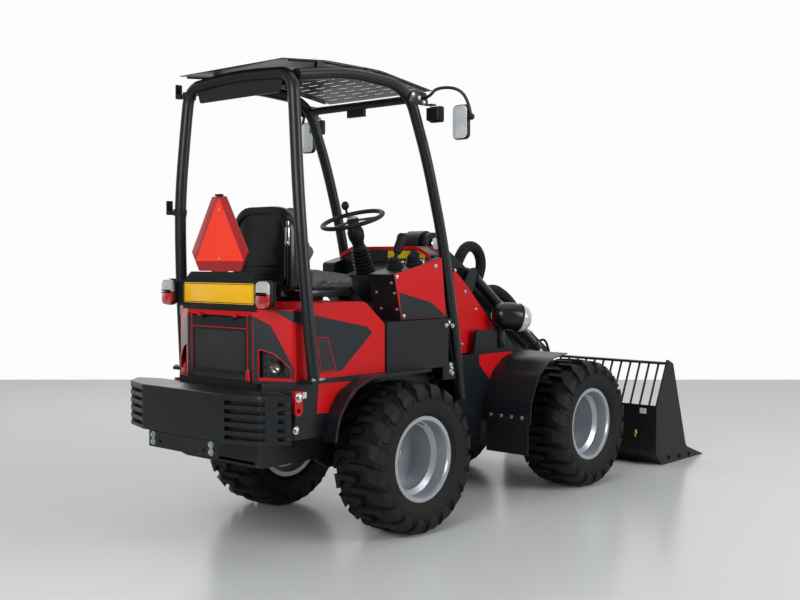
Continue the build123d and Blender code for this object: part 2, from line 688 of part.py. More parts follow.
def exhaust_pipe():
    """The outlet behind the right corner arch, bent up from the engine."""
    start = ENGINE_SIZE[1] / 2 + SEAT_GAP
    points = [(-540, -start, 900), (-540, -290, 900), (-688, -324, 850)]
    return pipe(points, 24, [58])


def engine_block():
    """The engine as one plain block at its real place and size."""
    length, width, height = ENGINE_SIZE
    return block((ENGINE_CENTRE_X - length / 2, ENGINE_CENTRE_X + length / 2),
                 (-width / 2, width / 2), (ENGINE_BOTTOM, ENGINE_BOTTOM + height))


def hood_latches():
    """Two rubber pull latches at the foot of the hood's rear face."""
    face = outline([(-12, 778, 4), (12, 778, 4), (14, 815, 8), (-14, 815, 8)])
    latch = cross_plate(Pos(228, 0) * face, DECK_REAR - 16, DECK_REAR)
    return both_sides(latch)


def rear_fenders():
    """Narrow flares over the rear wheels."""
    # Columns: x, z, corner radius, along the outside and back along the inside.
    flare = outline([
        (-500, 500, 0), (-476, 610, 120), (-400, 720, 120), (-250, DECK_TOP, 200),
        (180, DECK_TOP, 0), (180, DECK_TOP - 14, 0), (-246, DECK_TOP - 14, 190),
        (-390, 712, 110), (-464, 606, 110), (-486, 500, 0),
    ])
    return both_sides(side_plate(flare, DECK_HALF_WIDTH, 500))


def operator_tub():
    """The floor, the footwell's sides and the walls over the wheels."""
    floor = block((TUB_REAR, DASH_FRONT - 16), (-WELL_HALF_WIDTH, WELL_HALF_WIDTH),
                  (FLOOR_TOP - FLOOR_PLATE, FLOOR_TOP))
    body = floor
    for side in (-1, 1):
        inner = side * (WELL_HALF_WIDTH - TUB_WALL)
        wall_y = sorted((inner, side * WELL_HALF_WIDTH))
        body += block((TUB_REAR, TUB_FRONT), wall_y, (FLOOR_TOP, DECK_TOP))
        shelf_y = sorted((inner, side * TUB_HALF_WIDTH))
        body += block((TUB_REAR, TUB_FRONT), shelf_y, (DECK_TOP - TUB_WALL, DECK_TOP))
    wall = outline([
        (TUB_REAR, DECK_TOP, 0), (TUB_FRONT, DECK_TOP, 0), (TUB_FRONT, WALL_TOP, 0),
        (TUB_REAR, WALL_TOP, 0),
    ])
    body += side_plate(wall, -TUB_HALF_WIDTH, -TUB_HALF_WIDTH + TUB_WALL)
    low_wall = outline([
        (TUB_FRONT - 120, DECK_TOP, 0), (TUB_FRONT, DECK_TOP, 0), (TUB_FRONT, WALL_TOP, 0),
        (TUB_FRONT - 60, WALL_TOP, 40),
    ])
    body += side_plate(low_wall, TUB_HALF_WIDTH - TUB_WALL, TUB_HALF_WIDTH)
    front = block((TUB_FRONT - TUB_WALL, TUB_FRONT), (-TUB_HALF_WIDTH, -WELL_HALF_WIDTH + 20),
                  (DECK_TOP, WALL_TOP))
    body += both_sides(front)
    body += block((DASH_FRONT - 16, DASH_FRONT - 6), (-WELL_HALF_WIDTH, WELL_HALF_WIDTH),
                  (FLOOR_TOP - FLOOR_PLATE, WALL_TOP))
    return body


def dashboard():
    """The front wall with its raised middle, the side consoles and the column pod."""
    front = cross_plate(outline([
        (-DASH_MIDDLE_HALF, WALL_TOP, 0), (DASH_MIDDLE_HALF, WALL_TOP, 0),
        (DASH_MIDDLE_HALF, DASH_SIDE_TOP + 12, 30), (240, DASH_TOP, 40), (-240, DASH_TOP, 40),
        (-DASH_MIDDLE_HALF, DASH_SIDE_TOP + 12, 30),
    ]), DASH_REAR, DASH_FRONT)
    console = side_plate(outline([
        (CONSOLE_REAR + 55, WALL_TOP, 0), (CONSOLE_FRONT, WALL_TOP, 0),
        (CONSOLE_FRONT_TOP, DASH_SIDE_TOP, 0), (CONSOLE_REAR, CONSOLE_REAR_TOP, 0),
    ]), -DASH_HALF_WIDTH, -CONSOLE_INNER)
    left = side_plate(outline([
        (DASH_REAR - 90, WALL_TOP + 120, 20), (CONSOLE_FRONT - 10, WALL_TOP, 0),
        (CONSOLE_FRONT_TOP, DASH_SIDE_TOP, 0), (DASH_REAR - 90, DASH_SIDE_TOP - 30, 20),
    ]), DASH_HALF_WIDTH - 90, DASH_HALF_WIDTH)
    slope = math.degrees(math.atan2(COLUMN_HEAD[2] - COLUMN_FOOT[2],
                                    COLUMN_HEAD[0] - COLUMN_FOOT[0])) - 90
    seat = (COLUMN_FOOT[0], COLUMN_FOOT[2] - SEAT_GAP)
    low = polar(seat, -50, slope)
    high = polar(seat, 64, slope)
    pod = side_plate(outline([
        (low[0], low[1] - 30, 0), (DASH_REAR + 10, 1040, 40), (DASH_REAR + 10, high[1] + 40, 0),
        (high[0], high[1], 0), (low[0], low[1], 0),
    ]), -95, 95)
    return front + console + left + pod


def steering_column():
    """The ribbed boot and the shaft up to the steering wheel."""
    foot = Vector(*COLUMN_FOOT)
    head = Vector(*COLUMN_HEAD)
    along = (head - foot).normalized()
    boot = rod(foot, foot + along * 120, 44, 30)
    shaft = rod(foot, head - along * 20, 19)
    return boot + shaft


def steering_wheel():
    """The ring, three spokes, hub and spinner knob, about the column's axis."""
    foot = Vector(*COLUMN_FOOT)
    head = Vector(*COLUMN_HEAD)
    along = (head - foot).normalized()
    seat = Plane(origin=head, z_dir=along, x_dir=(0, 1, 0))
    body = Torus(WHEEL_RING_RADIUS, WHEEL_RING_SECTION)
    hub = Pos(0, 0, -26) * Cylinder(30, 34, align=(Align.CENTER, Align.CENTER, Align.MIN))
    body += hub - Pos(0, 0, -27) * Cylinder(
        19 + SHAFT_GAP, 8, align=(Align.CENTER, Align.CENTER, Align.MIN))
    for angle in (90, 210, 330):
        spoke = Pos(WHEEL_RING_RADIUS / 2 + 10, 0, -6) * Box(WHEEL_RING_RADIUS - 20, 26, 9)
        body += Rot(0, 0, angle) * spoke
    knob_x = WHEEL_RING_RADIUS
    body += Pos(0, knob_x, 26) * Cylinder(9, 30)
    body += Pos(0, knob_x, 56) * Sphere(24)
    return seat.location * body


def operator_controls():
    """Joysticks on the right console and two pedals on the floor."""
    rise = (DASH_SIDE_TOP - CONSOLE_REAR_TOP) / (CONSOLE_FRONT_TOP - CONSOLE_REAR)
    up = Vector(-rise, 0, 1).normalized()
    # Joysticks. Columns: x, y, lean forward, height.
    sticks = [(170, -262, 60, 170), (250, -320, 14, 60)]
    body = None
    for x, y, lean, height in sticks:
        z = CONSOLE_REAR_TOP + rise * (x - CONSOLE_REAR)
        base = Vector(x, y, z) + up * SEAT_GAP
        top = Vector(x + lean, y, z + height)
        boot = rod(base, base + up * 34, 30, 15)
        middle = base + up * 30
        stick = boot + rod(middle, top, 8) + rod(middle + (top - middle) * 0.6, top, 19)
        body = stick if body is None else body + stick
    for y in (-120, 120):
        pedal = side_plate(outline([
            (330, FLOOR_TOP, 0), (352, FLOOR_TOP, 0), (410, FLOOR_TOP + 92, 0),
            (400, FLOOR_TOP + 98, 0),
        ]), y - 40, y + 40)
        body += pedal
    return body


def seat_frame():
    """The pan under the cushion, the slide below it and the moulded back shell."""
    pan = side_plate(outline([
        (CUSHION_REAR - 60, SEAT_PAN_BOTTOM, 10), (CUSHION_FRONT - 20, SEAT_PAN_BOTTOM, 10),
        (CUSHION_FRONT - 20, CUSHION_BOTTOM - SEAT_GAP, 10),
        (CUSHION_REAR - 60, CUSHION_BOTTOM - SEAT_GAP, 10),
    ]), -SEAT_HALF_WIDTH + 20, SEAT_HALF_WIDTH - 20)
    slide = block((-380, -230), (-150, 150), (HOOD_TOP, SEAT_PAN_BOTTOM))
    shell = cross_plate(outline([
        (-SEAT_HALF_WIDTH, 1178, 20), (SEAT_HALF_WIDTH, 1178, 20),
        (SEAT_HALF_WIDTH, BACKSHELL_TOP, 60), (-SEAT_HALF_WIDTH, BACKSHELL_TOP, 60),
    ]), BACKSHELL_REAR, BACKSHELL_REAR + 46)
    foot = block((BACKSHELL_REAR + 20, CUSHION_REAR - 50), (-120, 120), (1150, 1250))
    return pan + slide + shell + foot


def seat_cushion():
    """The soft seat cushion as its closed outer form."""
    return side_plate(outline([
        (CUSHION_REAR, CUSHION_BOTTOM, 18), (CUSHION_FRONT, CUSHION_BOTTOM, 20),
        (CUSHION_FRONT, CUSHION_FRONT_TOP, 30), (CUSHION_REAR, CUSHION_REAR_TOP, 26),
    ]), -SEAT_HALF_WIDTH, SEAT_HALF_WIDTH)


def seat_backrest():
    """The soft backrest, leaning on the back shell."""
    front_of_shell = BACKSHELL_REAR + 46 + SEAT_GAP
    return side_plate(outline([
        (front_of_shell, 1316, 20), (-372, 1300, 20), (-330, 1360, 40), (-396, 1640, 20),
        (front_of_shell, 1645, 20),
    ]), -SEAT_HALF_WIDTH + 6, SEAT_HALF_WIDTH - 6)


def plate_carrier():
    """The black holder that stands on the hood's rear edge, for plate, triangle and lamps."""
    back = HOOD_REAR - 2
    face = outline([
        (-390, 1120, 6), (390, 1120, 6), (390, 1228, 6), (262, 1228, 6), (205, 1273, 6),
        (-205, 1273, 6), (-262, 1228, 6), (-390, 1228, 6),
    ])
    body = cross_plate(face, back, back + 6)
    body += both_sides(block((back, HOOD_REAR + 50), (150, 190), (1120, 1126)))
    body += both_sides(block((HOOD_REAR + 30, HOOD_REAR + 50), (150, 190),
                             (HOOD_REAR_TOP + SEAT_GAP, 1126)))
    return body


def number_plate():
    """The blank yellow plate."""
    face = outline([(-255, 1126, 12), (255, 1126, 12), (255, 1222, 12), (-255, 1222, 12)])
    return cross_plate(face, HOOD_REAR - 7, HOOD_REAR - 2)


def slow_triangle():
    """The slow vehicle triangle with its cut corners, standing on the carrier."""
    face = outline([
        (-150, 1276, 8), (150, 1276, 8), (205, 1365, 8), (50, 1621, 8), (-50, 1621, 8),
        (-205, 1365, 8),
    ])
    sign = cross_plate(face, HOOD_REAR + 4 + SEAT_GAP, HOOD_REAR + 8)
    stay = block((HOOD_REAR + 4 + SEAT_GAP, HOOD_REAR + 8), (-60, 60), (1230, 1290))
    return sign + stay


def tail_lamps():
    """Two upright oval lamps beside the plate."""
    face = Pos(345, 1174) * SlotOverall(128, 84, rotation=90)
    lamp = cross_plate(face, HOOD_REAR - 46, HOOD_REAR - 2)
    return both_sides(lamp)


def canopy_rear_frame():
    """One bent tube: a bowed post, the crowned top and the other post, with its feet."""
    # The right post from its foot up. Columns: x, y, z.
    post = [(-600, -468, 792), (-636, -447, 1250), (-653, -428, 1620), (-640, -392, 1990),
            (-632, -372, 2165)]
    crown = (-632, 0, 2190)
    other = [(x, -y, z) for x, y, z in reversed(post)]
    body = pipe(post + [crown] + other, TUBE_RADIUS)
    foot = block((-646, -554), (DECK_HALF_WIDTH, 506), (DECK_TOP - 8, DECK_TOP + 8))
    valance = cross_plate(outline([
        (-290, 2086, 20), (290, 2086, 20), (310, 2170, 0), (-310, 2170, 0),
    ]), -635, -629)
    return body + valance + both_sides(foot)


def canopy_side_hoops():
    """Two hoops: roof rail, bend and the raked front post down to the tub."""
    # From the rear corner over the roof and down in front. Columns: x, y, z.
    points = [(-603, RAIL_Y, 2160), (-260, RAIL_Y, 2212), (60, RAIL_Y, 2194),
              (176, RAIL_Y, 2130), (300, RAIL_Y, 1840), (430, RAIL_Y, 1420),
              (505, 372, 1010), (562, 384, 590)]
    body = pipe(points, TUBE_RADIUS)
    # Lugs that hold the front post to the tub. Columns: x to, z from, z to.
    for x_to, z_low, z_high in ((520, 700, 790), (500, 975, 1020)):
        body += block((TUB_FRONT, x_to), (RAIL_Y - 2, RAIL_Y + 18), (z_low, z_high))
    # Pads under the roof. Columns: x from, x to, z to.
    for x_low, x_high, z_high in ((-480, -440, 2236.4), (-150, -110, 2241.7)):
        body += block((x_low, x_high), (RAIL_Y - 14, RAIL_Y + 7), (2200, z_high))
    return both_sides(body)


def canopy_front_beam():
    """The cross tube between the front bends, with its bracket plate."""
    end = RAIL_Y - TUBE_RADIUS - SEAT_GAP
    beam = rod((160, -end, 2128), (160, end, 2128), 20)
    return beam + block((150, 170), (-60, 60), (2070, 2128))


def roof_panel():
    """The thin crowned roof plate, with slots through its front half."""
    # Columns: x, z of the top face, corner radius.
    top = [(-690, 2222, 0), (-420, 2246, 600), (-60, 2246, 600), (330, 2192, 0)]
    rows = top + [(x, z - ROOF_PLATE, r) for x, z, r in reversed(top)]
    body = side_plate(outline(rows), -ROOF_HALF_WIDTH, ROOF_HALF_WIDTH)
    for x in range(-40, 300, 52):
        for y in range(-280, 281, 112):
            body -= Pos(x, y, 2210) * extrude(SlotOverall(84, ROOF_SLOT, rotation=90), 60,
                                              both=True)
    return body


def work_lamps():
    """Two square finned lamps under brackets at the canopy's front corners."""
    inner = RAIL_Y + TUBE_RADIUS
    bracket = side_plate(outline([
        (121, 2103, 4), (121, 2118, 4), (145, LAMP_BRACKET_TOP, 10), (256, LAMP_BRACKET_TOP, 10),
        (270, 2120, 6), (270, 2103, 4),
    ]), inner, inner + LAMP_BRACKET_PLATE)
    arm = block((250, 290), (inner, LAMP_Y + 12), (LAMP_TOP, LAMP_TOP + 8))
    face = Pos(LAMP_Y, LAMP_TOP - LAMP_SIZE / 2) * RectangleRounded(LAMP_SIZE, LAMP_SIZE, 12)
    body = cross_plate(face, LAMP_REAR, LAMP_FRONT)
    for index in range(LAMP_FINS - 1):
        y = LAMP_Y + (index - (LAMP_FINS - 2) / 2) * LAMP_FIN_PITCH
        body -= block((LAMP_REAR - 1, LAMP_REAR + LAMP_FIN_DEPTH),
                      (y - LAMP_FIN_PITCH / 4, y + LAMP_FIN_PITCH / 4),
                      (LAMP_TOP - LAMP_SIZE - 1, LAMP_TOP - 8))
    return both_sides(bracket + arm + body)


def mirrors():
    """Two mirrors on bent arms outside the work lamps."""
    start = RAIL_Y + TUBE_RADIUS + 8 + SEAT_GAP
    arm = pipe([(240, start, 2140), (240, start + 40, 2140), (250, 480, 2180),
                (330, 552, 2184), (345, 556, 2098)], 8)
    head = cross_plate(outline([
        (505, 1930, 24), (605, 1930, 24), (605, 2104, 24), (505, 2104, 24),
    ]), 330, 358)
    return both_sides(arm + head)


def front_frame():
    """Cheek plates, cross plates and the lugs that hold the steering pin."""
    cheek = outline([
        (CHEEK_REAR, 318, 30), (-640, 352, 60), (-420, 330, 60), (130, 300, 60),
        (170, 420, 60), (60, 560, 60), (-326, CHEEK_TOP - 6, 30),
        (CHEEK_CREST_ENDS[1], CHEEK_CREST, 20), (CHEEK_CREST_ENDS[0], CHEEK_CREST + 18, 20),
        (CHEEK_CREST_ENDS[0] - 20, CHEEK_TOP, 20), (CHEEK_REAR, CHEEK_TOP, 20),
    ])
    plates = side_plate(cheek, CHEEK_OUTER - CHEEK_PLATE, CHEEK_OUTER)
    plates -= pin_y(0, TYRE_RADIUS, AXLE_TUBE_RADIUS + SEAT_GAP, 0, CHEEK_OUTER + 1)
    body = both_sides(plates)
    inner = CHEEK_OUTER - CHEEK_PLATE
    # Cross plates between the cheeks. Columns: x from, x to, z from, z to.
    crosses = [
        (-640, -624, 312, 640), (-624, -100, 344, 358), (60, 76, 310, 540),
        (-400, -384, 480, CHEEK_TOP - 40),
    ]
    for x_low, x_high, z_low, z_high in crosses:
        body += block((x_low, x_high), (-inner, inner), (z_low, z_high))
    shelf = block((-640, -500), (TOWER_INNER + TOWER_PLATE + 2, inner),
                  (CHEEK_TOP - 20, CHEEK_TOP - 6))
    return body + both_sides(shelf) + steering_lugs() + lift_foot() + steer_arm()


def steer_arm():
    """Ears beside the steering pin for the rod eye of the steering cylinder."""
    return Pos(-STEER_REACH, STEER_Y, STEER_Z) * eye_ears(EAR_GAP, 114, 0)


def steering_lugs():
    """The two lugs round the nose with their pin."""
    hinge = -STEER_REACH
    plan = outline([
        (-630, -170, 0), (hinge - 60, -LUG_HALF_WIDTH, 56), (hinge - 60, LUG_HALF_WIDTH, 56),
        (-630, 170, 0),
    ])
    low = flat_plate(plan, NOSE_BOTTOM - RUNNING_GAP - LUG_PLATE, NOSE_BOTTOM - RUNNING_GAP)
    high = flat_plate(plan, NOSE_TOP + RUNNING_GAP, NOSE_TOP + RUNNING_GAP + LUG_PLATE)
    pin_low = NOSE_BOTTOM - RUNNING_GAP - LUG_PLATE - PIN_HEAD
    pin_high = NOSE_TOP + RUNNING_GAP + LUG_PLATE + PIN_HEAD
    pin = rod((hinge, 0, pin_low), (hinge, 0, pin_high), PIN_RADIUS)
    heads = rod((hinge, 0, pin_low), (hinge, 0, pin_low + PIN_HEAD), PIN_HEAD_RADIUS)
    heads += rod((hinge, 0, pin_high - PIN_HEAD), (hinge, 0, pin_high), PIN_HEAD_RADIUS)
    return low + high + pin + heads


def loader_tower():
    """Two plates that rise and lean back to the boom's pivot."""
    x, z = BOOM_PIVOT
    plate = outline([
        (-800, CHEEK_TOP - 120, 0), (-420, CHEEK_TOP - 120, 0), (-430, 930, 80),
        (-700, 1240, 120), (x + 78, z + 62, 60), (x - 66, z + 62, 56), (x - 74, 1180, 80),
    ])
    plates = side_plate(plate, TOWER_INNER, TOWER_INNER + TOWER_PLATE)
    plates -= pin_y(x, z, PIVOT_PIN_RADIUS - 5, TOWER_INNER - 1, TOWER_INNER + TOWER_PLATE + 1)
    body = both_sides(plates)
    reach = TOWER_INNER + TOWER_PLATE
    body += pin_y(x, z, PIVOT_PIN_RADIUS, -reach - 10, reach + 10)
    inner = TOWER_INNER
    body += block((-800, -786), (-inner, inner), (CHEEK_TOP - 60, 1080))
    web = block((-640, -626), (TOWER_INNER + TOWER_PLATE, CHEEK_OUTER - CHEEK_PLATE),
                (CHEEK_TOP - 120, CHEEK_TOP - 26))
    return body + both_sides(web)


def lift_foot():
    """Ears on the frame for the lift cylinder's foot, with its pin."""
    x, z = LIFT_FOOT
    inner = EYE_HALF_WIDTH + 1.0
    ear = capsule((x, z), (x + 20, z - 44), 34, 44)
    ears = both_sides(side_plate(ear, inner, inner + EAR_PLATE))
    return ears + pin_y(x, z, EYE_PIN_RADIUS, -inner - EAR_PLATE, inner + EAR_PLATE)


def tower_covers():
    """Red side covers beside the tower."""
    shape = outline([
        (-848, 1282, 10), (-743, 1199, 20), (-467, 941, 10), (-500, CHEEK_TOP + 4, 10),
        (-800, CHEEK_TOP + 4, 10), (-815, 1050, 60),
    ])
    panel = side_plate(shape, COVER_HALF_WIDTH - COVER_WALL, COVER_HALF_WIDTH)
    # The top edge turned in to the tower. Columns: x, z, corner radius.
    edge = [(-848, 1282, 0), (-743, 1199, 20), (-467, 941, 0)]
    below = [(x - COVER_WALL * 0.6, z - COVER_WALL * 0.8, r) for x, z, r in reversed(edge)]
    roof = side_plate(outline(edge + below), TOWER_INNER + TOWER_PLATE + SEAT_GAP,
                      COVER_HALF_WIDTH)
    return both_sides(panel + roof)


def front_fenders():
    """Folded fenders behind and above the front wheels."""
    # Columns: x, z, corner radius, up the outside and back along the inside.
    outer = [(-640, 440, 0), (-628, 560, 60), (-560, 700, 160), (-440, 780, 160),
             (-280, 802, 0)]
    inner = [(x + FENDER_PLATE * 0.8, z - FENDER_PLATE * 0.8, r) for x, z, r in reversed(outer)]
    sheet = side_plate(outline(outer + inner), FENDER_INNER, FENDER_OUTER)
    return both_sides(sheet)


def mud_flaps():
    """Rubber flaps bolted behind the fenders' lower edges."""
    flap = block((-640 - FLAP_THICKNESS, -640), (FENDER_INNER + 30, FENDER_OUTER - 10),
                 (FLAP_BOTTOM, 486))
    return both_sides(flap)


def headlights():
    """Two bullet lamps on stems above the fenders."""
    shell = outline([
        (0, -160, 0), (34, -150, 20), (62, -60, 60), (74, 60, 60), (78, 140, 0), (0, 140, 0),
    ])
    bullet = revolve(Plane.XY * shell, Axis.Y)
    lamp = Pos(-440, 350, 1013) * Rot(0, 0, -90) * bullet
    stem = block((-500, -456), (CHEEK_OUTER + SEAT_GAP, CHEEK_OUTER + 12), (CHEEK_TOP + 20, 1000))
    return both_sides(lamp + stem)


def boom():
    """The single dog-leg boom with its root boss, tip tube and cylinder ears."""
    profile = capsule(BOOM_PIVOT, BOOM_KNEE, BOOM_ROOT_RADIUS, BOOM_MID_RADIUS)
    profile += capsule(BOOM_KNEE, BOOM_TIP, BOOM_MID_RADIUS, BOOM_TIP_RADIUS)
    body = side_plate(profile, -BOOM_HALF_WIDTH, BOOM_HALF_WIDTH)
    root = TOWER_INNER - RUNNING_GAP
    body += pin_y(*BOOM_PIVOT, 50, -root, root)
    body -= pin_y(*BOOM_PIVOT, PIVOT_PIN_RADIUS + SHAFT_GAP, -root - 1, root + 1)
    body += pin_y(*BOOM_TIP, 42, -TIP_TUBE_HALF, TIP_TUBE_HALF)
    body -= pin_y(*BOOM_TIP, TIP_PIN_RADIUS + SHAFT_GAP, -TIP_TUBE_HALF - 1, TIP_TUBE_HALF + 1)
    eye = polar(BOOM_PIVOT, LIFT_EYE_REACH, LIFT_EYE_ANGLE)
    slope = math.degrees(math.atan2(BOOM_KNEE[1] - BOOM_PIVOT[1], BOOM_KNEE[0] - BOOM_PIVOT[0]))
    root_point = polar(eye, 130, slope + 90)
    ear = capsule(eye, root_point, 32, 60)
    inner = EYE_HALF_WIDTH + EAR_GAP
    ears = side_plate(ear, inner, inner + EAR_PLATE)
    ears += pin_y(*eye, 22, inner + EAR_PLATE, inner + EAR_PLATE + 8)
    body += both_sides(ears)
    for end, beside in (REAR_HOSE[:2], REAR_HOSE[:-3:-1], FRONT_HOSE[:2], FRONT_HOSE[:-3:-1]):
        body += hose_socket(end, beside)
    return body + tilt_foot()


def hose_socket(end, beside):
    """The round socket on the boom that a hose leaves, in line with its first run."""
    mouth, onward = (Vector(x, 0, z) for x, z in (boom_point(*end), boom_point(*beside)))
    way = (mouth - onward).normalized()
    root = mouth + way * HOSE_SOCKET_LENGTH
    return rod(mouth + way * SEAT_GAP, root, HOSE_RADIUS + HOSE_SOCKET_WALL)


def tilt_foot():
    """The bracket on the boom's side for the tilt cylinder's foot."""
    x, z = TILT_FOOT
    slope = math.degrees(math.atan2(BOOM_KNEE[1] - BOOM_PIVOT[1], BOOM_KNEE[0] - BOOM_PIVOT[0]))
    root_point = polar((x, z), 90, slope - 90)
    ear = capsule((x, z), root_point, 30, 46)
    outer = TILT_Y - EYE_HALF_WIDTH - 1.0
    inner = TILT_Y + EYE_HALF_WIDTH + 1.0
    body = side_plate(ear, outer - EAR_PLATE, outer)
    body += side_plate(ear, inner, -BOOM_HALF_WIDTH + 2)
    web = side_plate(Pos(*root_point) * Circle(30), outer, inner)
    return body + web + pin_y(x, z, EYE_PIN_RADIUS, outer - EAR_PLATE, inner + 10)


def cylinder_barrel(foot, eye, length, radius):
    """A barrel drawn in x and z, with its foot eye, gland and an open bore."""
    angle = math.degrees(math.atan2(eye[1] - foot[1], eye[0] - foot[0]))
    start = polar(foot, EYE_RADIUS + 22, angle)
    end = polar(foot, length, angle)
    gland = polar(foot, length - 44, angle)
    body = rod((start[0], 0, start[1]), (end[0], 0, end[1]), radius)
    body += rod((gland[0], 0, gland[1]), (end[0], 0, end[1]), radius + 5)
    neck = capsule(foot, polar(foot, EYE_RADIUS + 30, angle), EYE_RADIUS - 4, EYE_RADIUS - 6)
    body += side_plate(neck, -EYE_HALF_WIDTH, EYE_HALF_WIDTH)
    bore_start = polar(foot, EYE_RADIUS + 44, angle)
    body -= rod((bore_start[0], 0, bore_start[1]), (end[0], 0, end[1]), radius * 0.55 + SHAFT_GAP)
    return body - pin_y(*foot, EYE_PIN_RADIUS + SHAFT_GAP, -EYE_HALF_WIDTH - 1, EYE_HALF_WIDTH + 1)


def cylinder_rod(foot, eye, barrel_radius, travel_in):
    """The rod that slides in a barrel, with the eye at its end and travel_in left behind it."""
    angle = math.degrees(math.atan2(eye[1] - foot[1], eye[0] - foot[0]))
    start = polar(foot, EYE_RADIUS + 50 + travel_in, angle)
    end = polar(eye, -EYE_RADIUS + 8, angle)
    body = rod((start[0], 0, start[1]), (end[0], 0, end[1]), barrel_radius * 0.55)
    body += pin_y(*eye, EYE_RADIUS, -EYE_HALF_WIDTH, EYE_HALF_WIDTH)
    return body - pin_y(*eye, EYE_PIN_RADIUS, -EYE_HALF_WIDTH - 1, EYE_HALF_WIDTH + 1)


def coupler():
    """The quick coupler: a cross plate with hinge ears, a cylinder lug and side hooks."""
    x, z = BOOM_TIP
    face_x = BUCKET_BACK_X - BUCKET_BACK_LEAN - SEAT_GAP
    plate = outline([
        (face_x - COUPLER_PLATE, 90, 6), (face_x, 90, 0), (face_x, 372, 0),
        (face_x - COUPLER_PLATE, 372, 6),
    ])
    body = side_plate(plate, -COUPLER_HALF_WIDTH, COUPLER_HALF_WIDTH)
    ear = capsule((x, z), (face_x - 30, z), 40, 62) & Pos(x, z) * Rectangle(
        2 * (face_x - x - COUPLER_PLATE / 2), 260)
    inner = TIP_TUBE_HALF + RUNNING_GAP
    ears = side_plate(ear, inner, inner + 18)
    body += both_sides(ears)
    body += pin_y(x, z, TIP_PIN_RADIUS, -inner - 26, inner + 26)
    eye = polar(BOOM_TIP, TILT_EYE_REACH, TILT_EYE_ANGLE)
    lug = outline([
        (eye[0] - 34, eye[1] - 10, 16), (eye[0] + 6, eye[1] + 34, 30),
        (face_x - 6, 330, 0), (face_x - 6, 240, 0), (eye[0] + 20, eye[1] - 60, 20),
    ])
    gap = EYE_HALF_WIDTH + EAR_GAP
    for low in (TILT_Y - gap - EAR_PLATE, TILT_Y + gap):
        body += side_plate(lug, low, low + EAR_PLATE)
    return body


def bucket_shell():
    """The bucket: rolled floor and back, side plates and the cutting edge."""
    lip = FRONT_OVERHANG
    back_foot = (BUCKET_BACK_X - BUCKET_BACK_LEAN, BUCKET_BACK_FOOT)
    rows = [
        (lip, 0, 0), (BUCKET_HEEL_X, 0, 60), (back_foot[0], back_foot[1], 60),
        (BUCKET_BACK_X, BUCKET_BACK_TOP, 0), (BUCKET_BACK_X + BUCKET_PLATE, BUCKET_BACK_TOP, 0),
        (back_foot[0] + BUCKET_PLATE, back_foot[1] + 6, 50),
        (BUCKET_HEEL_X + 6, BUCKET_PLATE, 50), (lip - 60, BUCKET_PLATE + 8, 0),
    ]
    body = side_plate(outline(rows), -BUCKET_HALF_WIDTH, BUCKET_HALF_WIDTH)
    side = outline([
        (lip - 8, 2, 0), (BUCKET_HEEL_X, 2, 60), (back_foot[0], back_foot[1], 60),
        (BUCKET_BACK_X, BUCKET_BACK_TOP, 0), (GUARD_TOP_X + 15, 680, 14), (999, 648, 20),
        (1187, 85, 60),
    ])
    sides = side_plate(side, BUCKET_HALF_WIDTH - BUCKET_PLATE, BUCKET_HALF_WIDTH)
    return body + both_sides(sides)


def bucket_guard():
    """The spill guard: round bars from the back plate up to a top beam."""
    half = BUCKET_HALF_WIDTH - BUCKET_PLATE
    beam = side_plate(outline([
        (GUARD_TOP_X - 22, GUARD_TOP, 0), (GUARD_TOP_X + 26, GUARD_TOP, 0),
        (GUARD_TOP_X + 26, GUARD_TOP + 14, 0), (GUARD_TOP_X - 22, GUARD_TOP + 14, 0),
    ]), -half, half)
    sill = block((BUCKET_BACK_X, BUCKET_BACK_X + BUCKET_PLATE), (-half, half),
                 (BUCKET_BACK_TOP, BUCKET_BACK_TOP + 6))
    body = beam + sill
    count = int(half / GUARD_PITCH)
    for index in range(-count, count + 1):
        y = index * GUARD_PITCH
        body += rod((BUCKET_BACK_X + 5, y, BUCKET_BACK_TOP + 4),
                    (GUARD_TOP_X, y, GUARD_TOP + 4), GUARD_BAR_RADIUS)
    return body


def boom_point(along, above):
    """A point in x and z, along the boom's upper beam from its pivot and above its axis."""
    slope = math.degrees(math.atan2(BOOM_KNEE[1] - BOOM_PIVOT[1], BOOM_KNEE[0] - BOOM_PIVOT[0]))
    return polar(polar(BOOM_PIVOT, along, slope), above, slope + 90)


def hump_of_hose(rows):
    """A hump of sleeved hose over the boom, from its points along and above the upper beam."""
    points = []
    for along, above in rows:
        x, z = boom_point(along, above)
        points.append((x, 0, z))
    print("hose bend radii", [round(radius) for radius in widest_bends(points)])
    return pipe(points, HOSE_RADIUS)


def rear_hose():
    """The tall hump of hose behind the boom's middle clamp."""
    return hump_of_hose(REAR_HOSE)


def front_hose():
    """The lower hump of hose in front of the boom's middle clamp."""
    return hump_of_hose(FRONT_HOSE)


REAR_PIECES = {
    "rear_frame": rear_frame,
    "rear_axle": axle,
    "counterweight": counterweight,
    "tow_plate": tow_plate,
    "tow_shackles": tow_shackles,
    "engine_block": engine_block,
    "engine_hood": engine_hood,
    "grille_door": grille_door,
    "exhaust_pipe": exhaust_pipe,
    "hood_latches": hood_latches,
    "rear_fenders": rear_fenders,
    "operator_tub": operator_tub,
    "dashboard": dashboard,
    "steering_column": steering_column,
    "steering_wheel": steering_wheel,
    "operator_controls": operator_controls,
    "seat_frame": seat_frame,
    "seat_cushion": seat_cushion,
    "seat_backrest": seat_backrest,
    "plate_carrier": plate_carrier,
    "number_plate": number_plate,
    "slow_triangle": slow_triangle,
    "tail_lamps": tail_lamps,
    "canopy_rear_frame": canopy_rear_frame,
    "canopy_side_hoops": canopy_side_hoops,
    "canopy_front_beam": canopy_front_beam,
    "roof_panel": roof_panel,
    "work_lamps": work_lamps,
    "mirrors": mirrors,
}

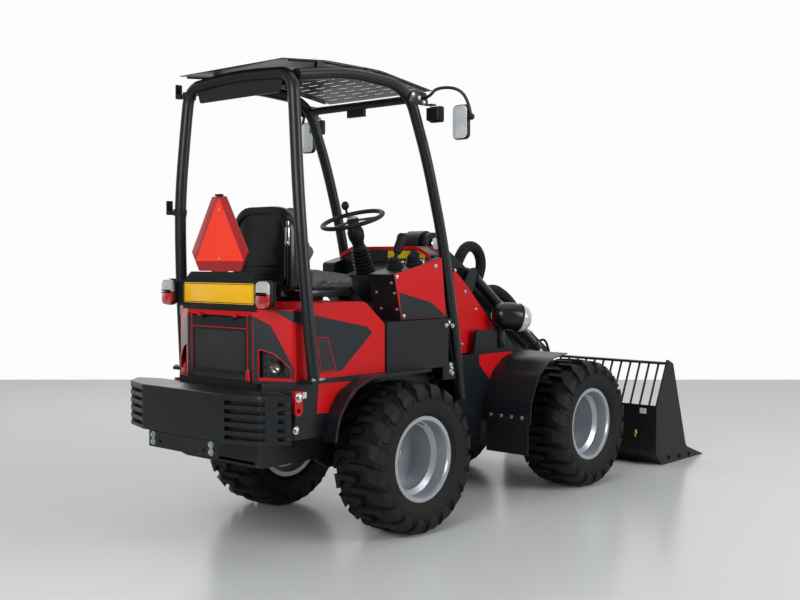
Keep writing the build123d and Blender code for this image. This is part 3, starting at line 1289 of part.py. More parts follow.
FRONT_PIECES = {
    "front_frame": front_frame,
    "front_axle": axle,
    "loader_tower": loader_tower,
    "tower_covers": tower_covers,
    "front_fenders": front_fenders,
    "mud_flaps": mud_flaps,
    "headlights": headlights,
    "boom": boom,
    "coupler": coupler,
    "bucket_shell": bucket_shell,
    "bucket_guard": bucket_guard,
    "rear_hose": rear_hose,
    "front_hose": front_hose,
}


def cylinders():
    """The barrels and rods of the lift, tilt and steering cylinders, by name."""
    lift_eye = polar(BOOM_PIVOT, LIFT_EYE_REACH, LIFT_EYE_ANGLE)
    tilt_eye = polar(BOOM_TIP, TILT_EYE_REACH, TILT_EYE_ANGLE)
    lift = Pos(FRONT_AXLE_X, 0, 0)
    tilt = Pos(FRONT_AXLE_X, TILT_Y, 0)
    steer = Pos(REAR_AXLE_X, STEER_Y, STEER_Z) * Rot(90, 0, 0)
    # Columns: name, place, foot, eye, barrel length, barrel radius, travel in from the photo.
    table = [
        ("lift", lift, LIFT_FOOT, lift_eye, LIFT_BARREL_LENGTH, LIFT_BARREL_RADIUS, 0),
        ("tilt", tilt, TILT_FOOT, tilt_eye, TILT_BARREL_LENGTH, TILT_BARREL_RADIUS, 90),
        ("steer", steer, (STEER_FOOT_X, 0), (STEER_REACH, 0), STEER_BARREL_LENGTH,
         STEER_BARREL_RADIUS, 75),
    ]
    pieces = {}
    for name, move, foot, eye, length, radius, travel_in in table:
        pieces[name + "_cylinder_barrel"] = move * cylinder_barrel(foot, eye, length, radius)
        pieces[name + "_cylinder_rod"] = move * cylinder_rod(foot, eye, radius, travel_in)
    return pieces


def wheels():
    """The four tyres and rims, by name."""
    pieces = {}
    tyre = lugged_tyre()
    for end, axle_x in (("rear", REAR_AXLE_X), ("front", FRONT_AXLE_X)):
        for label, side in (("left", 1), ("right", -1)):
            place = Pos(axle_x, 0, 0) * wheel_place(side)
            pieces[f"{end}_{label}_tyre"] = place * tyre
            pieces[f"{end}_{label}_rim"] = place * rim(side)
    return pieces


def build():
    """Every piece in place, by name."""
    pieces = {name: Pos(REAR_AXLE_X, 0, 0) * make() for name, make in REAR_PIECES.items()}
    pieces |= {name: Pos(FRONT_AXLE_X, 0, 0) * make() for name, make in FRONT_PIECES.items()}
    return pieces | cylinders() | wheels()


def main():
    """Write each piece to its own file."""
    os.makedirs("parts", exist_ok=True)
    for name, piece in build().items():
        export_step(piece, f"parts/{name}.step")


if __name__ == "__main__":
    main()
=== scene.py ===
"""Dresses a compact articulated wheel loader: tyres, paint, seat, hoses and small fittings.

Everything is in metres in the frame's axes: +X forward, +Y the driver's left, +Z up. The loader
stands straight, so one place on the ground under the rear axle measures both halves.
"""
from __future__ import annotations

import logging
import math
from dataclasses import dataclass, field
from enum import Enum
from typing import Iterable, Sequence

import bmesh
import bpy
from mathutils import Matrix, Vector


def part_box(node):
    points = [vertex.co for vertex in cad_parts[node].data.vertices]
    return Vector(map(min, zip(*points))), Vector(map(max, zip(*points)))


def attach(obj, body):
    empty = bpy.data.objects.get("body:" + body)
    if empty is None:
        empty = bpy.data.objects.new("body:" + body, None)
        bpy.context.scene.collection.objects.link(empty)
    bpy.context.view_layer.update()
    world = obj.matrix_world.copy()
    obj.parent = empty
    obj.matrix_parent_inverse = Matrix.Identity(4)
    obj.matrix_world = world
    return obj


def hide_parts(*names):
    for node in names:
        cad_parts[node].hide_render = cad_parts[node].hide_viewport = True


LOG = logging.getLogger("loader")
Point = Sequence[float]
Socket = bpy.types.NodeSocket
Object = bpy.types.Object

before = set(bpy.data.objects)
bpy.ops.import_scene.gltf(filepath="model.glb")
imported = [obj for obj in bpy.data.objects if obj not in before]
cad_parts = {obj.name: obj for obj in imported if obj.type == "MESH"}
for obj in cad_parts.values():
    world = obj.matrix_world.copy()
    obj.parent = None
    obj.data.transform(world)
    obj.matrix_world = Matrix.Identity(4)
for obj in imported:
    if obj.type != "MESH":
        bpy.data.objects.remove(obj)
REAR_AXLE = sum((corner.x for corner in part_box("rear_left_rim")), 0.0) / 2
FRONT_AXLE = sum((corner.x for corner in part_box("front_left_rim")), 0.0) / 2
WHEEL_CENTRE_Z = sum((corner.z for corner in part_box("rear_left_rim")), 0.0) / 2
TYRE_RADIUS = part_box("rear_left_tyre")[1].z - WHEEL_CENTRE_Z
HOOD_SIDE = 0.412
CONSOLE_FOOT, CONSOLE_HEIGHT = 0.030, 1.255
CONSOLE_RISE = (1.340 - 1.255) / (0.404 - 0.030)
SKIN = 0.0006
WASHER = 0.0022


def at(x: float, y: float, z: float) -> Vector:
    """Place a point given from the ground under the rear axle.

    Args:
        x: Metres forward of the rear axle.
        y: Metres to the driver's left.
        z: Metres above the ground.

    Returns:
        The point in the frame.
    """
    return Vector((REAR_AXLE + x, y, z))


def on_console(x: float, y: float, above: float = 0.0) -> Vector:
    """Place a point on, or above, the sloping top of the right console."""
    return at(x, y, CONSOLE_HEIGHT + CONSOLE_RISE * (x - CONSOLE_FOOT) + above)


def linear(code: str) -> tuple[float, float, float, float]:
    """Turn an sRGB hex value into linear colour.

    Args:
        code: Six hex digits after a hash sign.

    Returns:
        Linear red, green, blue and an alpha of one.
    """
    channels = [int(code[place:place + 2], 16) / 255 for place in (1, 3, 5)]
    steps = [c / 12.92 if c <= 0.04045 else ((c + 0.055) / 1.055) ** 2.4 for c in channels]
    return (steps[0], steps[1], steps[2], 1.0)


def add_node(tree: bpy.types.NodeTree, kind: str,
             settings: dict[str | int, object] | None = None,
             links: dict[str | int, Socket] | None = None) -> bpy.types.Node:
    """Add a shader node with its settings and links.

    Args:
        tree: The material's tree.
        kind: Blender's name of the node type.
        settings: Values by input name or number, or by property name.
        links: Output sockets by the input that they feed.

    Returns:
        The new node.
    """
    made = tree.nodes.new(kind)
    for key, value in (settings or {}).items():
        if isinstance(key, int) or key in made.inputs:
            made.inputs[key].default_value = value
        else:
            setattr(made, key, value)
    for key, source in (links or {}).items():
        tree.links.new(source, made.inputs[key])
    return made


class Grain(Enum):
    """How a surface was made, as far as its relief shows."""

    SMOOTH = "smooth"
    SPRAYED = "sprayed"
    MOULDED = "moulded"
    HIDE = "hide"
    WOVEN = "woven"
    BRUSHED = "brushed"
    PUNCHED = "punched"
    HONEYCOMB = "honeycomb"


@dataclass(frozen=True)
class Finish:
    """A real finish: its material slot in the record, colours, gloss and relief."""

    name: str
    slot: str
    colour: str
    second: str
    roughness: float = 0.5
    spread: float = 0.06
    metallic: float = 0.0
    coat: float = 0.0
    sheen: float = 0.0
    transmission: float = 0.0
    ior: float = 1.5
    specular: float = 0.5
    grain: Grain = Grain.SPRAYED
    grain_mm: float = 2.0
    height_mm: float = 0.02
    patch_mm: float = 90.0

    def relief(self, tree: bpy.types.NodeTree, place: Socket) -> Socket:
        """Draw the height pattern of the grain.

        Args:
            tree: The material's tree.
            place: Object coordinates.

        Returns:
            The socket with the height, from 0 to 1.
        """
        scale = 1000.0 / self.grain_mm
        if self.grain in (Grain.HIDE, Grain.HONEYCOMB):
            cells = add_node(tree, "ShaderNodeTexVoronoi",
                             {"feature": "DISTANCE_TO_EDGE", "Scale": scale,
                              "Randomness": 1.0 if self.grain is Grain.HIDE else 0.0},
                             {"Vector": place})
            return cells.outputs["Distance"]
        if self.grain in (Grain.WOVEN, Grain.PUNCHED):
            warp = add_node(tree, "ShaderNodeTexWave",
                            {"bands_direction": "DIAGONAL", "Scale": scale / 3.0},
                            {"Vector": place})
            turned = add_node(tree, "ShaderNodeMapping", {"Rotation": (1.2, 0.6, 1.57)},
                              {"Vector": place})
            weft = add_node(tree, "ShaderNodeTexWave",
                            {"bands_direction": "DIAGONAL", "Scale": scale / 3.0},
                            {"Vector": turned.outputs["Vector"]})
            both = add_node(tree, "ShaderNodeMath", {"operation": "MULTIPLY"},
                            {0: warp.outputs["Fac"], 1: weft.outputs["Fac"]})
            return both.outputs["Value"]
        stretch = (1.0, 14.0, 1.0) if self.grain is Grain.BRUSHED else (1.0, 1.0, 1.0)
        drawn = add_node(tree, "ShaderNodeMapping", {"Scale": stretch}, {"Vector": place})
        fine = add_node(tree, "ShaderNodeTexNoise",
                        {"Scale": scale, "Detail": 3.0 if self.grain is Grain.MOULDED else 1.0},
                        {"Vector": drawn.outputs["Vector"]})
        return fine.outputs["Fac"]

    def material(self) -> bpy.types.Material:
        """Build the material once, and return it from then on."""
        known = bpy.data.materials.get(self.name)
        if known:
            return known
        made = bpy.data.materials.new(self.name)
        made.use_nodes = True
        tree = made.node_tree
        shader = tree.nodes["Principled BSDF"]
        for key, value in (("Metallic", self.metallic), ("Coat Weight", self.coat),
                           ("Coat Roughness", 0.08), ("Sheen Weight", self.sheen),
                           ("Transmission Weight", self.transmission), ("IOR", self.ior),
                           ("Specular IOR Level", self.specular)):
            shader.inputs[key].default_value = value
        place = add_node(tree, "ShaderNodeTexCoord").outputs["Object"]
        clouds = add_node(tree, "ShaderNodeTexNoise",
                          {"Scale": 1000.0 / self.patch_mm, "Detail": 4.0}, {"Vector": place})
        tint = add_node(tree, "ShaderNodeMix",
                        {"data_type": "RGBA", 6: linear(self.colour), 7: linear(self.second)},
                        {0: clouds.outputs["Fac"]})
        gloss = add_node(tree, "ShaderNodeMapRange",
                         {"To Min": self.roughness - self.spread,
                          "To Max": self.roughness + self.spread},
                         {"Value": clouds.outputs["Fac"]})
        tree.links.new(tint.outputs[2], shader.inputs["Base Color"])
        tree.links.new(gloss.outputs["Result"], shader.inputs["Roughness"])
        if self.grain is not Grain.SMOOTH:
            bump = add_node(tree, "ShaderNodeBump",
                            {"Strength": 1.0, "Distance": self.height_mm / 1000.0},
                            {"Height": self.relief(tree, place)})
            tree.links.new(bump.outputs["Normal"], shader.inputs["Normal"])
        return made


# Gloss powder coat: baked powder flows into a faint orange peel under a clear gloss.
RED = Finish("red_powder_coat", "loader_red", "#C80E12", "#BE0B10", 0.34, 0.04, coat=0.12,
             specular=0.25, grain_mm=2.4, height_mm=0.012)
# Satin powder coat on plate and tube: near black with a blue cast, a soft highlight.
GREY = Finish("anthracite_powder_coat", "anthracite", "#15191D", "#111518", 0.34, 0.05, coat=0.06,
              specular=0.3, grain_mm=2.0, height_mm=0.02)
# The bucket's paint is blacker and flatter, over rolled plate.
BUCKET = Finish("black_bucket_paint", "bucket_black", "#0F1012", "#151618", 0.42, 0.08, coat=0.03,
                specular=0.25, grain_mm=3.0, height_mm=0.03)
# Printed vinyl film over the paint: flat colour, satin, with no peel of its own.
FILM = Finish("dark_vinyl_film", "anthracite", "#24282C", "#202427", 0.3, 0.03, coat=0.06,
              specular=0.3, grain=Grain.SMOOTH)
RED_FILM = Finish("red_vinyl_film", "loader_red", "#C80F13", "#BE0C10", 0.32, 0.03, coat=0.06,
                  specular=0.25, grain=Grain.SMOOTH)
# Injection moulded plastic keeps the spark-eroded grain of its mould.
PLASTIC = Finish("black_moulded_plastic", "black_plastic", "#111214", "#151618", 0.52, 0.06,
                 specular=0.25, grain=Grain.MOULDED, grain_mm=1.6, height_mm=0.03)
SHELL = Finish("gloss_seat_shell", "black_plastic", "#0E0E10", "#121214", 0.24, 0.04, coat=0.12,
               specular=0.3, grain=Grain.MOULDED, grain_mm=3.0, height_mm=0.015)
# Tyre rubber: carbon black, waxy and slightly brown where it has dried.
TREAD = Finish("tyre_rubber", "tyre", "#121212", "#1B1A19", 0.62, 0.1, specular=0.2,
               grain=Grain.MOULDED, grain_mm=5.0, height_mm=0.12, patch_mm=45.0)
RUBBER = Finish("moulded_rubber", "rubber", "#0F0F10", "#151516", 0.58, 0.08, specular=0.22,
                grain=Grain.MOULDED, grain_mm=2.5, height_mm=0.04)
# Silver wheel paint: aluminium flake under lacquer.
SILVER = Finish("silver_wheel_paint", "rim_silver", "#B4B9BF", "#A6ACB2", 0.32, 0.05, metallic=0.6,
                coat=0.3, grain_mm=1.2, height_mm=0.01)
# Bright zinc plate on bolts and washers.
ZINC = Finish("zinc_plate", "bare_steel", "#D6D9DC", "#BEC2C6", 0.28, 0.08, metallic=1.0,
              grain=Grain.BRUSHED, grain_mm=1.5, height_mm=0.01, patch_mm=12.0)
CHROME = Finish("hard_chrome", "chrome", "#D9DCDF", "#CDD1D5", 0.12, 0.03, metallic=1.0,
                grain=Grain.BRUSHED, grain_mm=1.0, height_mm=0.004)
BRASS = Finish("turned_brass", "bare_steel", "#C6A45A", "#B8954A", 0.28, 0.06, metallic=1.0,
               grain=Grain.BRUSHED, grain_mm=1.0, height_mm=0.01)
# Silencer tube: stainless steel, slightly straw coloured from heat.
STAINLESS = Finish("stainless_tube", "bare_steel", "#CFCBC4", "#BDB7AE", 0.3, 0.08, metallic=1.0,
                   grain=Grain.BRUSHED, grain_mm=2.0, height_mm=0.01, patch_mm=30.0)
IRON = Finish("cast_iron", "engine_grey", "#2A2C2D", "#232526", 0.6, 0.08, metallic=0.3,
              specular=0.3, grain=Grain.MOULDED, grain_mm=6.0, height_mm=0.2)
# Foam backed vinyl with an embossed hide.
VINYL = Finish("seat_vinyl", "seat_vinyl", "#101112", "#151617", 0.46, 0.07, specular=0.25,
               sheen=0.02, grain=Grain.HIDE, grain_mm=4.0, height_mm=0.12)
# Reflective sheet: glass beads in cells under a clear film. The cells are drawn coarser.
YELLOW = Finish("yellow_reflective_sheet", "plate_yellow", "#F8BE00", "#F2B600", 0.3, 0.04,
                coat=0.2, grain=Grain.HONEYCOMB, grain_mm=5.0, height_mm=0.02)
SIGN = Finish("fluorescent_red_sheet", "sign_orange", "#FF3B20", "#F8341B", 0.42, 0.04, coat=0.2,
              grain=Grain.SMOOTH)
SIGN_EDGE = Finish("dark_red_reflective_sheet", "sign_orange", "#AD1018", "#990D13", 0.26, 0.04,
                   coat=0.5, grain=Grain.HONEYCOMB, grain_mm=6.0, height_mm=0.03)
# Lamp lenses: acrylic, with a honeycomb of prisms.
RED_LENS = Finish("red_acrylic_lens", "lamp_lens", "#C00F19", "#A80B14", 0.12, 0.03, coat=0.6,
                  transmission=0.15, ior=1.49, grain=Grain.HONEYCOMB, grain_mm=7.0,
                  height_mm=0.3)
CLEAR_LENS = Finish("clear_acrylic_lens", "lamp_lens", "#DDE0E2", "#C9CDD0", 0.1, 0.03, coat=0.6,
                    transmission=0.35, ior=1.49, grain=Grain.HONEYCOMB, grain_mm=7.0,
                    height_mm=0.3)
MIRROR = Finish("mirror_glass", "chrome", "#E6EBED", "#DFE5E8", 0.12, 0.02, metallic=0.35,
                grain=Grain.SMOOTH)
# Braided textile sleeve over the boom's hoses. The braid is drawn at 6 mm so that it shows.
SLEEVE = Finish("braided_hose_sleeve", "rubber", "#101011", "#181819", 0.78, 0.06, specular=0.2,
                sheen=0.04, grain=Grain.WOVEN, grain_mm=6.0, height_mm=0.6, patch_mm=35.0)
# Perforated sheet: holes of 4 mm drawn as a lattice.
PERFORATED = Finish("perforated_black_sheet", "anthracite", "#2A2D2F", "#202325", 0.5, 0.06,
                    specular=0.3, grain=Grain.PUNCHED, grain_mm=5.0, height_mm=1.2)
WHITE_LABEL = Finish("blank_white_label", "black_plastic", "#D9DAD8", "#CECFCD", 0.5, 0.05,
                     grain=Grain.SMOOTH)
YELLOW_LABEL = Finish("blank_yellow_label", "plate_yellow", "#E2C200", "#D6B700", 0.4, 0.05,
                      grain=Grain.SMOOTH)


class View(Enum):
    """The plane that an outline is drawn in."""

    SIDE = "x and z, thick in y"
    REAR = "y and z, thick in x"
    PLAN = "x and y, thick in z"


def axes_of(view: View) -> Matrix:
    """Return the turn from outline axes (across, up, thick) to the frame."""
    columns = {
        View.SIDE: ((1, 0, 0), (0, 0, 1), (0, 1, 0)),
        View.REAR: ((0, 1, 0), (0, 0, 1), (1, 0, 0)),
        View.PLAN: ((1, 0, 0), (0, 1, 0), (0, 0, 1)),
    }[view]
    return Matrix(columns).transposed().to_4x4()


def toward(direction: Point) -> Matrix:
    """Return the turn that takes +Z to a direction."""
    return Vector(direction).to_track_quat("Z", "Y").to_matrix().to_4x4()


def rectangle(left: float, low: float, right: float, high: float,
              radius: float = 0.0) -> list[Point]:
    """Return the outline of a rectangle with one radius at its corners."""
    return [(left, low, radius), (right, low, radius), (right, high, radius),
            (left, high, radius)]


class Shape:
    """A mesh under construction."""

    def __init__(self) -> None:
        """Start with nothing."""
        self.mesh = bmesh.new()

    def soften(self, verts: Iterable[bmesh.types.BMVert], width: float, segments: int = 2) -> None:
        """Bevel every edge among some vertices.

        Args:
            verts: The vertices of the part to soften.
            width: Bevel width.
            segments: Steps in the bevel.
        """
        if width <= 0:
            return
        chosen = set(verts)
        edges = [e for e in self.mesh.edges
                 if chosen.issuperset(e.verts) and len(e.link_faces) == 2
                 and e.calc_face_angle(0.0) > 0.5]
        bmesh.ops.bevel(self.mesh, geom=edges, offset=width, segments=segments, profile=0.5,
                        affect="EDGES", material=-1)

    def box(self, low: Point, high: Point, soft: float = 0.0) -> None:
        """Add a box between two corners.

        Args:
            low: Lowest corner.
            high: Highest corner.
            soft: Bevel width.
        """
        low_corner, high_corner = Vector(low), Vector(high)
        centre = Matrix.Translation((low_corner + high_corner) / 2)
        matrix = centre @ Matrix.Diagonal((*(high_corner - low_corner), 1.0))
        made = bmesh.ops.create_cube(self.mesh, size=1.0, matrix=matrix)
        self.soften(made["verts"], soft)

    def rod(self, start: Point, end: Point, radius: float, end_radius: float | None = None,
            sides: int = 24, soft: float = 0.0) -> None:
        """Add a round bar or cone.

        Args:
            start: Centre of the first end.
            end: Centre of the last end.
            radius: Radius at the start.
            end_radius: Radius at the end, if it differs.
            sides: Sides of the section.
            soft: Bevel width at the ends.
        """
        first, last = Vector(start), Vector(end)
        span = last - first
        matrix = Matrix.Translation((first + last) / 2) @ toward(span)
        made = bmesh.ops.create_cone(
            self.mesh, cap_ends=True, segments=sides, radius1=radius,
            radius2=radius if end_radius is None else end_radius, depth=span.length,
            matrix=matrix)
        self.soften(made["verts"], soft)

    def ball(self, centre: Point, radii: Point) -> None:
        """Add an ellipsoid.

        Args:
            centre: Its middle.
            radii: Its three radii.
        """
        matrix = Matrix.Translation(centre) @ Matrix.Diagonal((*radii, 1.0))
        bmesh.ops.create_uvsphere(self.mesh, u_segments=24, v_segments=14, radius=1.0,
                                  matrix=matrix)

    def lathe(self, rows: Sequence[Point], start: Point, axis: Point, steps: int = 48) -> None:
        """Spin a profile about an axis.

        Args:
            rows: Radius and place along the axis, from one end to the other.
            start: Where the axis begins.
            axis: Its direction.
            steps: Steps round.
        """
        matrix = Matrix.Translation(start) @ toward(axis)
        verts = [bmesh.ops.create_vert(self.mesh, co=matrix @ Vector((r, 0.0, up)))["vert"][0]
                 for r, up in rows]
        edges = [self.mesh.edges.new(pair) for pair in zip(verts, verts[1:])]
        bmesh.ops.spin(self.mesh, geom=verts + edges, cent=Vector(start),
                       axis=Vector(axis).normalized(), angle=math.tau, steps=steps,
                       use_merge=True)
        bmesh.ops.remove_doubles(self.mesh, verts=list(self.mesh.verts), dist=1e-6)
        self.mesh.normal_update()

    def plate(self, rows: Sequence[Point], view: View, level: float, thick: float,
              soft: float = 0.0, matrix: Matrix | None = None, hollow: float = 0.0) -> None:
        """Extrude a flat outline with rounded corners.

        Args:
            rows: Across, up and corner radius of each corner.
            view: The plane of the outline, where no matrix is given.
            level: Place of the first face along the thickness.
            thick: How far the plate goes on from there, of either sign.
            soft: Bevel width of its edges.
            matrix: From outline axes to the frame, in place of the view.
            hollow: Width of the border that is kept, or 0 to keep the whole plate.
        """
        if matrix is None:
            matrix = Matrix.Translation((REAR_AXLE, 0, 0)) @ axes_of(view)
        verts = [self.mesh.verts.new((row[0], row[1], level)) for row in rows]
        before = set(self.mesh.verts) - set(verts)
        self.mesh.faces.new(verts)
        for vert, row in list(zip(verts, rows)):
            if len(row) > 2 and row[2]:
                bmesh.ops.bevel(self.mesh, geom=[vert], offset=self.reach(vert, row[2]),
                                segments=6, profile=0.5, affect="VERTICES", material=-1)
        flat = [v for v in self.mesh.verts if v not in before]
        faces = list({f for v in flat for f in v.link_faces})
        if hollow > 0:
            rim = bmesh.ops.inset_region(self.mesh, faces=faces, thickness=hollow, depth=0.0,
                                         use_boundary=True, use_even_offset=True)
            bmesh.ops.delete(self.mesh, geom=faces, context="FACES_ONLY")
            faces = rim["faces"]
            flat = [v for v in self.mesh.verts if v not in before]
        grown = bmesh.ops.extrude_face_region(self.mesh, geom=faces, use_keep_orig=True)
        top = [g for g in grown["geom"] if isinstance(g, bmesh.types.BMVert)]
        bmesh.ops.translate(self.mesh, verts=top, vec=(0, 0, thick))
        self.soften(flat + top, soft)
        whole = [v for v in self.mesh.verts if v not in before]
        bmesh.ops.transform(self.mesh, matrix=matrix, verts=whole)

    @staticmethod
    def reach(vert: bmesh.types.BMVert, radius: float) -> float:
        """Return how far from a corner an arc of some radius begins."""
        arms = [(e.other_vert(vert).co - vert.co) for e in vert.link_edges]
        half = arms[0].angle(arms[1], math.pi / 2) / 2
        return min(radius / max(math.tan(half), 0.2), 0.49 * min(arm.length for arm in arms))

    def bolt(self, place: Point, out: Point, across: float) -> None:
        """Add a hexagon bolt head on its washer.

        Args:
            place: Middle of the seat.
            out: Direction away from the surface.
            across: Size across the flats.
        """
        normal = Vector(out).normalized()
        seat = Vector(place)
        base = seat + normal * WASHER
        self.rod(seat - normal * 0.001, base, across * 0.92, sides=20)
        self.rod(base, base + normal * across * 0.5, across * 0.577, sides=6,
                 soft=across * 0.05)

    def on_both_sides(self) -> Shape:
        """Add the mirror image on the other side of the machine."""
        bmesh.ops.mirror(self.mesh, geom=list(self.mesh.verts) + list(self.mesh.edges)
                         + list(self.mesh.faces), matrix=Matrix.Identity(4), merge_dist=1e-7,
                         axis="Y")
        return self

    def done(self, name: str, finish: Finish, stands_for: Sequence[str] = (),
             body: str = "rear_half", slot: str = "", sharp: float = 32.0) -> Object:
        """Make the object, dress it and hang it on its body.

        Args:
            name: The piece's name.
            finish: Its finish.
            stands_for: CAD nodes that it replaces.
            body: The CAD body that it rides on.
            slot: Not used.
            sharp: Angle in degrees from which an edge stays sharp.

        Returns:
            The finished object.
        """
        bmesh.ops.recalc_face_normals(self.mesh, faces=list(self.mesh.faces))
        mesh = bpy.data.meshes.new(name)
        self.mesh.to_mesh(mesh)
        self.mesh.free()
        mesh.shade_smooth()
        mesh.set_sharp_from_angle(angle=math.radians(sharp))
        return settle(bpy.data.objects.new(name, mesh), finish, stands_for, body)


def settle(piece: Object, finish: Finish, stands_for: Sequence[str], body: str) -> Object:
    """Link an object, dress it and hang it on its body.

    Args:
        piece: The object, at the origin.
        finish: Its finish.
        stands_for: CAD nodes that it replaces.
        body: The CAD body that it rides on.

    Returns:
        The same object.
    """
    bpy.context.scene.collection.objects.link(piece)
    piece.data.materials.append(finish.material())
    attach(piece, body)
    if stands_for:
        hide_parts(*stands_for)
    LOG.info("%s on %s", piece.name, body)
    return piece


def pipe(name: str, points: Sequence[Point], radius: float, finish: Finish,
         stands_for: Sequence[str] = (), body: str = "rear_half") -> Object:
    """Lay a round pipe or hose along a smooth spline.

    Args:
        name: The piece's name.
        points: Control points in the frame.
        radius: Outer radius.
        finish: Its finish.
        stands_for: CAD nodes that it replaces.
        body: The CAD body that it rides on.

    Returns:
        The curve object.
    """
    curve = bpy.data.curves.new(name, "CURVE")
    curve.dimensions = "3D"
    curve.bevel_depth = radius
    curve.bevel_resolution = 5
    curve.use_fill_caps = True
    spline = curve.splines.new("NURBS")
    spline.points.add(len(points) - 1)
    for control, point in zip(spline.points, points):
        control.co = (*point, 1.0)
    spline.order_u = 3
    spline.use_endpoint_u = True
    spline.resolution_u = 10
    spline.use_smooth = True
    return settle(bpy.data.objects.new(name, curve), finish, stands_for, body)


def seen_rays(tree: bpy.types.NodeTree) -> Socket:
    """Return a socket that is 1 for camera, glossy and transmission rays, and else 0."""
    path = add_node(tree, "ShaderNodeLightPath")
    pair = add_node(tree, "ShaderNodeMath", {"operation": "MAXIMUM"},
                    {0: path.outputs["Is Camera Ray"], 1: path.outputs["Is Glossy Ray"]})
    return add_node(tree, "ShaderNodeMath", {"operation": "MAXIMUM"},
                    {0: pair.outputs[0],
                     1: path.outputs["Is Transmission Ray"]}).outputs[0]


@dataclass
class Studio:
    """The camera where the photographer stood, soft lights, the floor and the wall."""

    camera_place: Vector = field(default_factory=lambda: at(-3.9807, -4.0016, 1.344))
    yaw: float = 0.7287
    dip: float = 0.0398
    lens_mm: float = 49.24
    floor_end: float = 11.9
    floor_half: float = 40.0
    wall_distance: float = 30.0
    wall_half: float = 80.0
    wall_foot: float = -12.0
    wall_top: float = 45.0
    sky: float = 0.24
    seen_sky: float = 0.42
    backdrop_gloss: float = 0.2
    middle: Point = (0.98, 0, 0.8)
    # Columns: name, place from the rear axle, watts, edge.
    lamps: tuple[tuple[str, Point, float, float], ...] = (
        ("ceiling_light", (0.9, 0, 5.2), 60, 5.0), ("rear_light", (-6.2, -2.0, 3.2), 270, 3.6),
        ("side_light", (2.4, -6.4, 3.2), 270, 3.6), ("far_light", (2.0, 4.6, 3.6), 35, 3.0))

    def heading(self) -> Vector:
        """Return the camera's level heading."""
        return Vector((math.cos(self.yaw), math.sin(self.yaw), 0.0))

    def camera(self) -> None:
        """Stand the camera where the photograph was taken."""
        data = bpy.data.cameras.new("camera")
        data.lens = self.lens_mm
        data.sensor_width = 36.0
        stand = bpy.data.objects.new("camera", data)
        bpy.context.scene.collection.objects.link(stand)
        look = self.heading() * math.cos(self.dip) - Vector((0, 0, math.sin(self.dip)))
        stand.rotation_euler = look.to_track_quat("-Z", "Y").to_euler()
        stand.location = self.camera_place
        bpy.context.scene.camera = stand

    def lamp(self, name: str, place: Point, power: float, size: float) -> None:
        """Hang a square soft light that faces the machine's middle.

        Args:
            name: Its name.
            place: Where it hangs, from the rear axle.
            power: Its power in watts.
            size: Its edge in metres.
        """
        data = bpy.data.lights.new(name, "AREA")
        data.energy = power
        data.size = size
        light = bpy.data.objects.new(name, data)
        bpy.context.scene.collection.objects.link(light)
        light.location = at(*place)
        way = at(*self.middle) - at(*place)
        light.rotation_euler = way.to_track_quat("-Z", "Y").to_euler()

    def backdrop(self, name: str, colour: str, seen: str, share: float,
                 roughness: float) -> bpy.types.Material:
        """Make a backdrop's material, which shows its own colour to the camera.

        Args:
            name: The material's name.
            colour: The colour that light falls on.
            seen: The colour that the camera and reflections see.
            share: How much of the seen colour is added.
            roughness: Of the surface.

        Returns:
            The material.
        """
        made = bpy.data.materials.new(name)
        made.use_nodes = True
        tree = made.node_tree
        shader = tree.nodes["Principled BSDF"]
        shader.inputs["Base Color"].default_value = linear(colour)
        shader.inputs["Roughness"].default_value = roughness
        shader.inputs["Specular IOR Level"].default_value = self.backdrop_gloss
        amount = add_node(tree, "ShaderNodeMath", {"operation": "MULTIPLY", 1: share},
                          {0: seen_rays(tree)})
        glow = add_node(tree, "ShaderNodeEmission", {"Color": linear(seen)})
        both = add_node(tree, "ShaderNodeMixShader", {},
                        {0: amount.outputs[0], 1: shader.outputs["BSDF"],
                         2: glow.outputs["Emission"]})
        tree.links.new(both.outputs["Shader"], tree.nodes["Material Output"].inputs["Surface"])
        return made

    def sheet(self, name: str, corners: Sequence[Point], material: bpy.types.Material) -> None:
        """Lay a flat backdrop.

        Args:
            name: Its name.
            corners: Its four corners.
            material: Its material.
        """
        mesh = bmesh.new()
        mesh.faces.new([mesh.verts.new(corner) for corner in corners])
        data = bpy.data.meshes.new(name)
        mesh.to_mesh(data)
        mesh.free()
        data.materials.append(material)
        piece = bpy.data.objects.new(name, data)
        bpy.context.scene.collection.objects.link(piece)

    def build(self) -> None:
        """Set up the studio."""
        scene = bpy.context.scene
        scene.view_settings.view_transform = "Standard"
        world = bpy.data.worlds.new("soft_room")
        world.use_nodes = True
        sky = world.node_tree.nodes["Background"]
        sky.inputs["Color"].default_value = linear("#FFFFFF")
        strength = add_node(world.node_tree, "ShaderNodeMath",
                            {"operation": "MULTIPLY_ADD", 1: self.seen_sky - self.sky,
                             2: self.sky}, {0: seen_rays(world.node_tree)})
        world.node_tree.links.new(strength.outputs[0], sky.inputs["Strength"])
        scene.world = world
        ahead = self.heading()
        aside = Vector((-ahead.y, ahead.x, 0))
        stand = Vector((self.camera_place.x, self.camera_place.y, 0))
        edge, depth = stand + ahead * self.floor_end, ahead * self.floor_half * 2
        left = aside * self.floor_half
        self.sheet("floor", [edge + left, edge + left - depth, edge - left - depth, edge - left],
                   self.backdrop("grey_studio_floor", "#D2D5D5", "#D2D5D5", 0.0, 0.22))
        wall, left = stand + ahead * self.wall_distance, aside * self.wall_half
        foot, top = Vector((0, 0, self.wall_foot)), Vector((0, 0, self.wall_top))
        self.sheet("wall", [wall + left + foot, wall - left + foot, wall - left + top,
                            wall + left + top],
                   self.backdrop("white_studio_wall", "#F4F4F4", "#FFFFFF", 0.97, 0.6))
        for name, place, power, size in self.lamps:
            self.lamp(name, place, power, size)


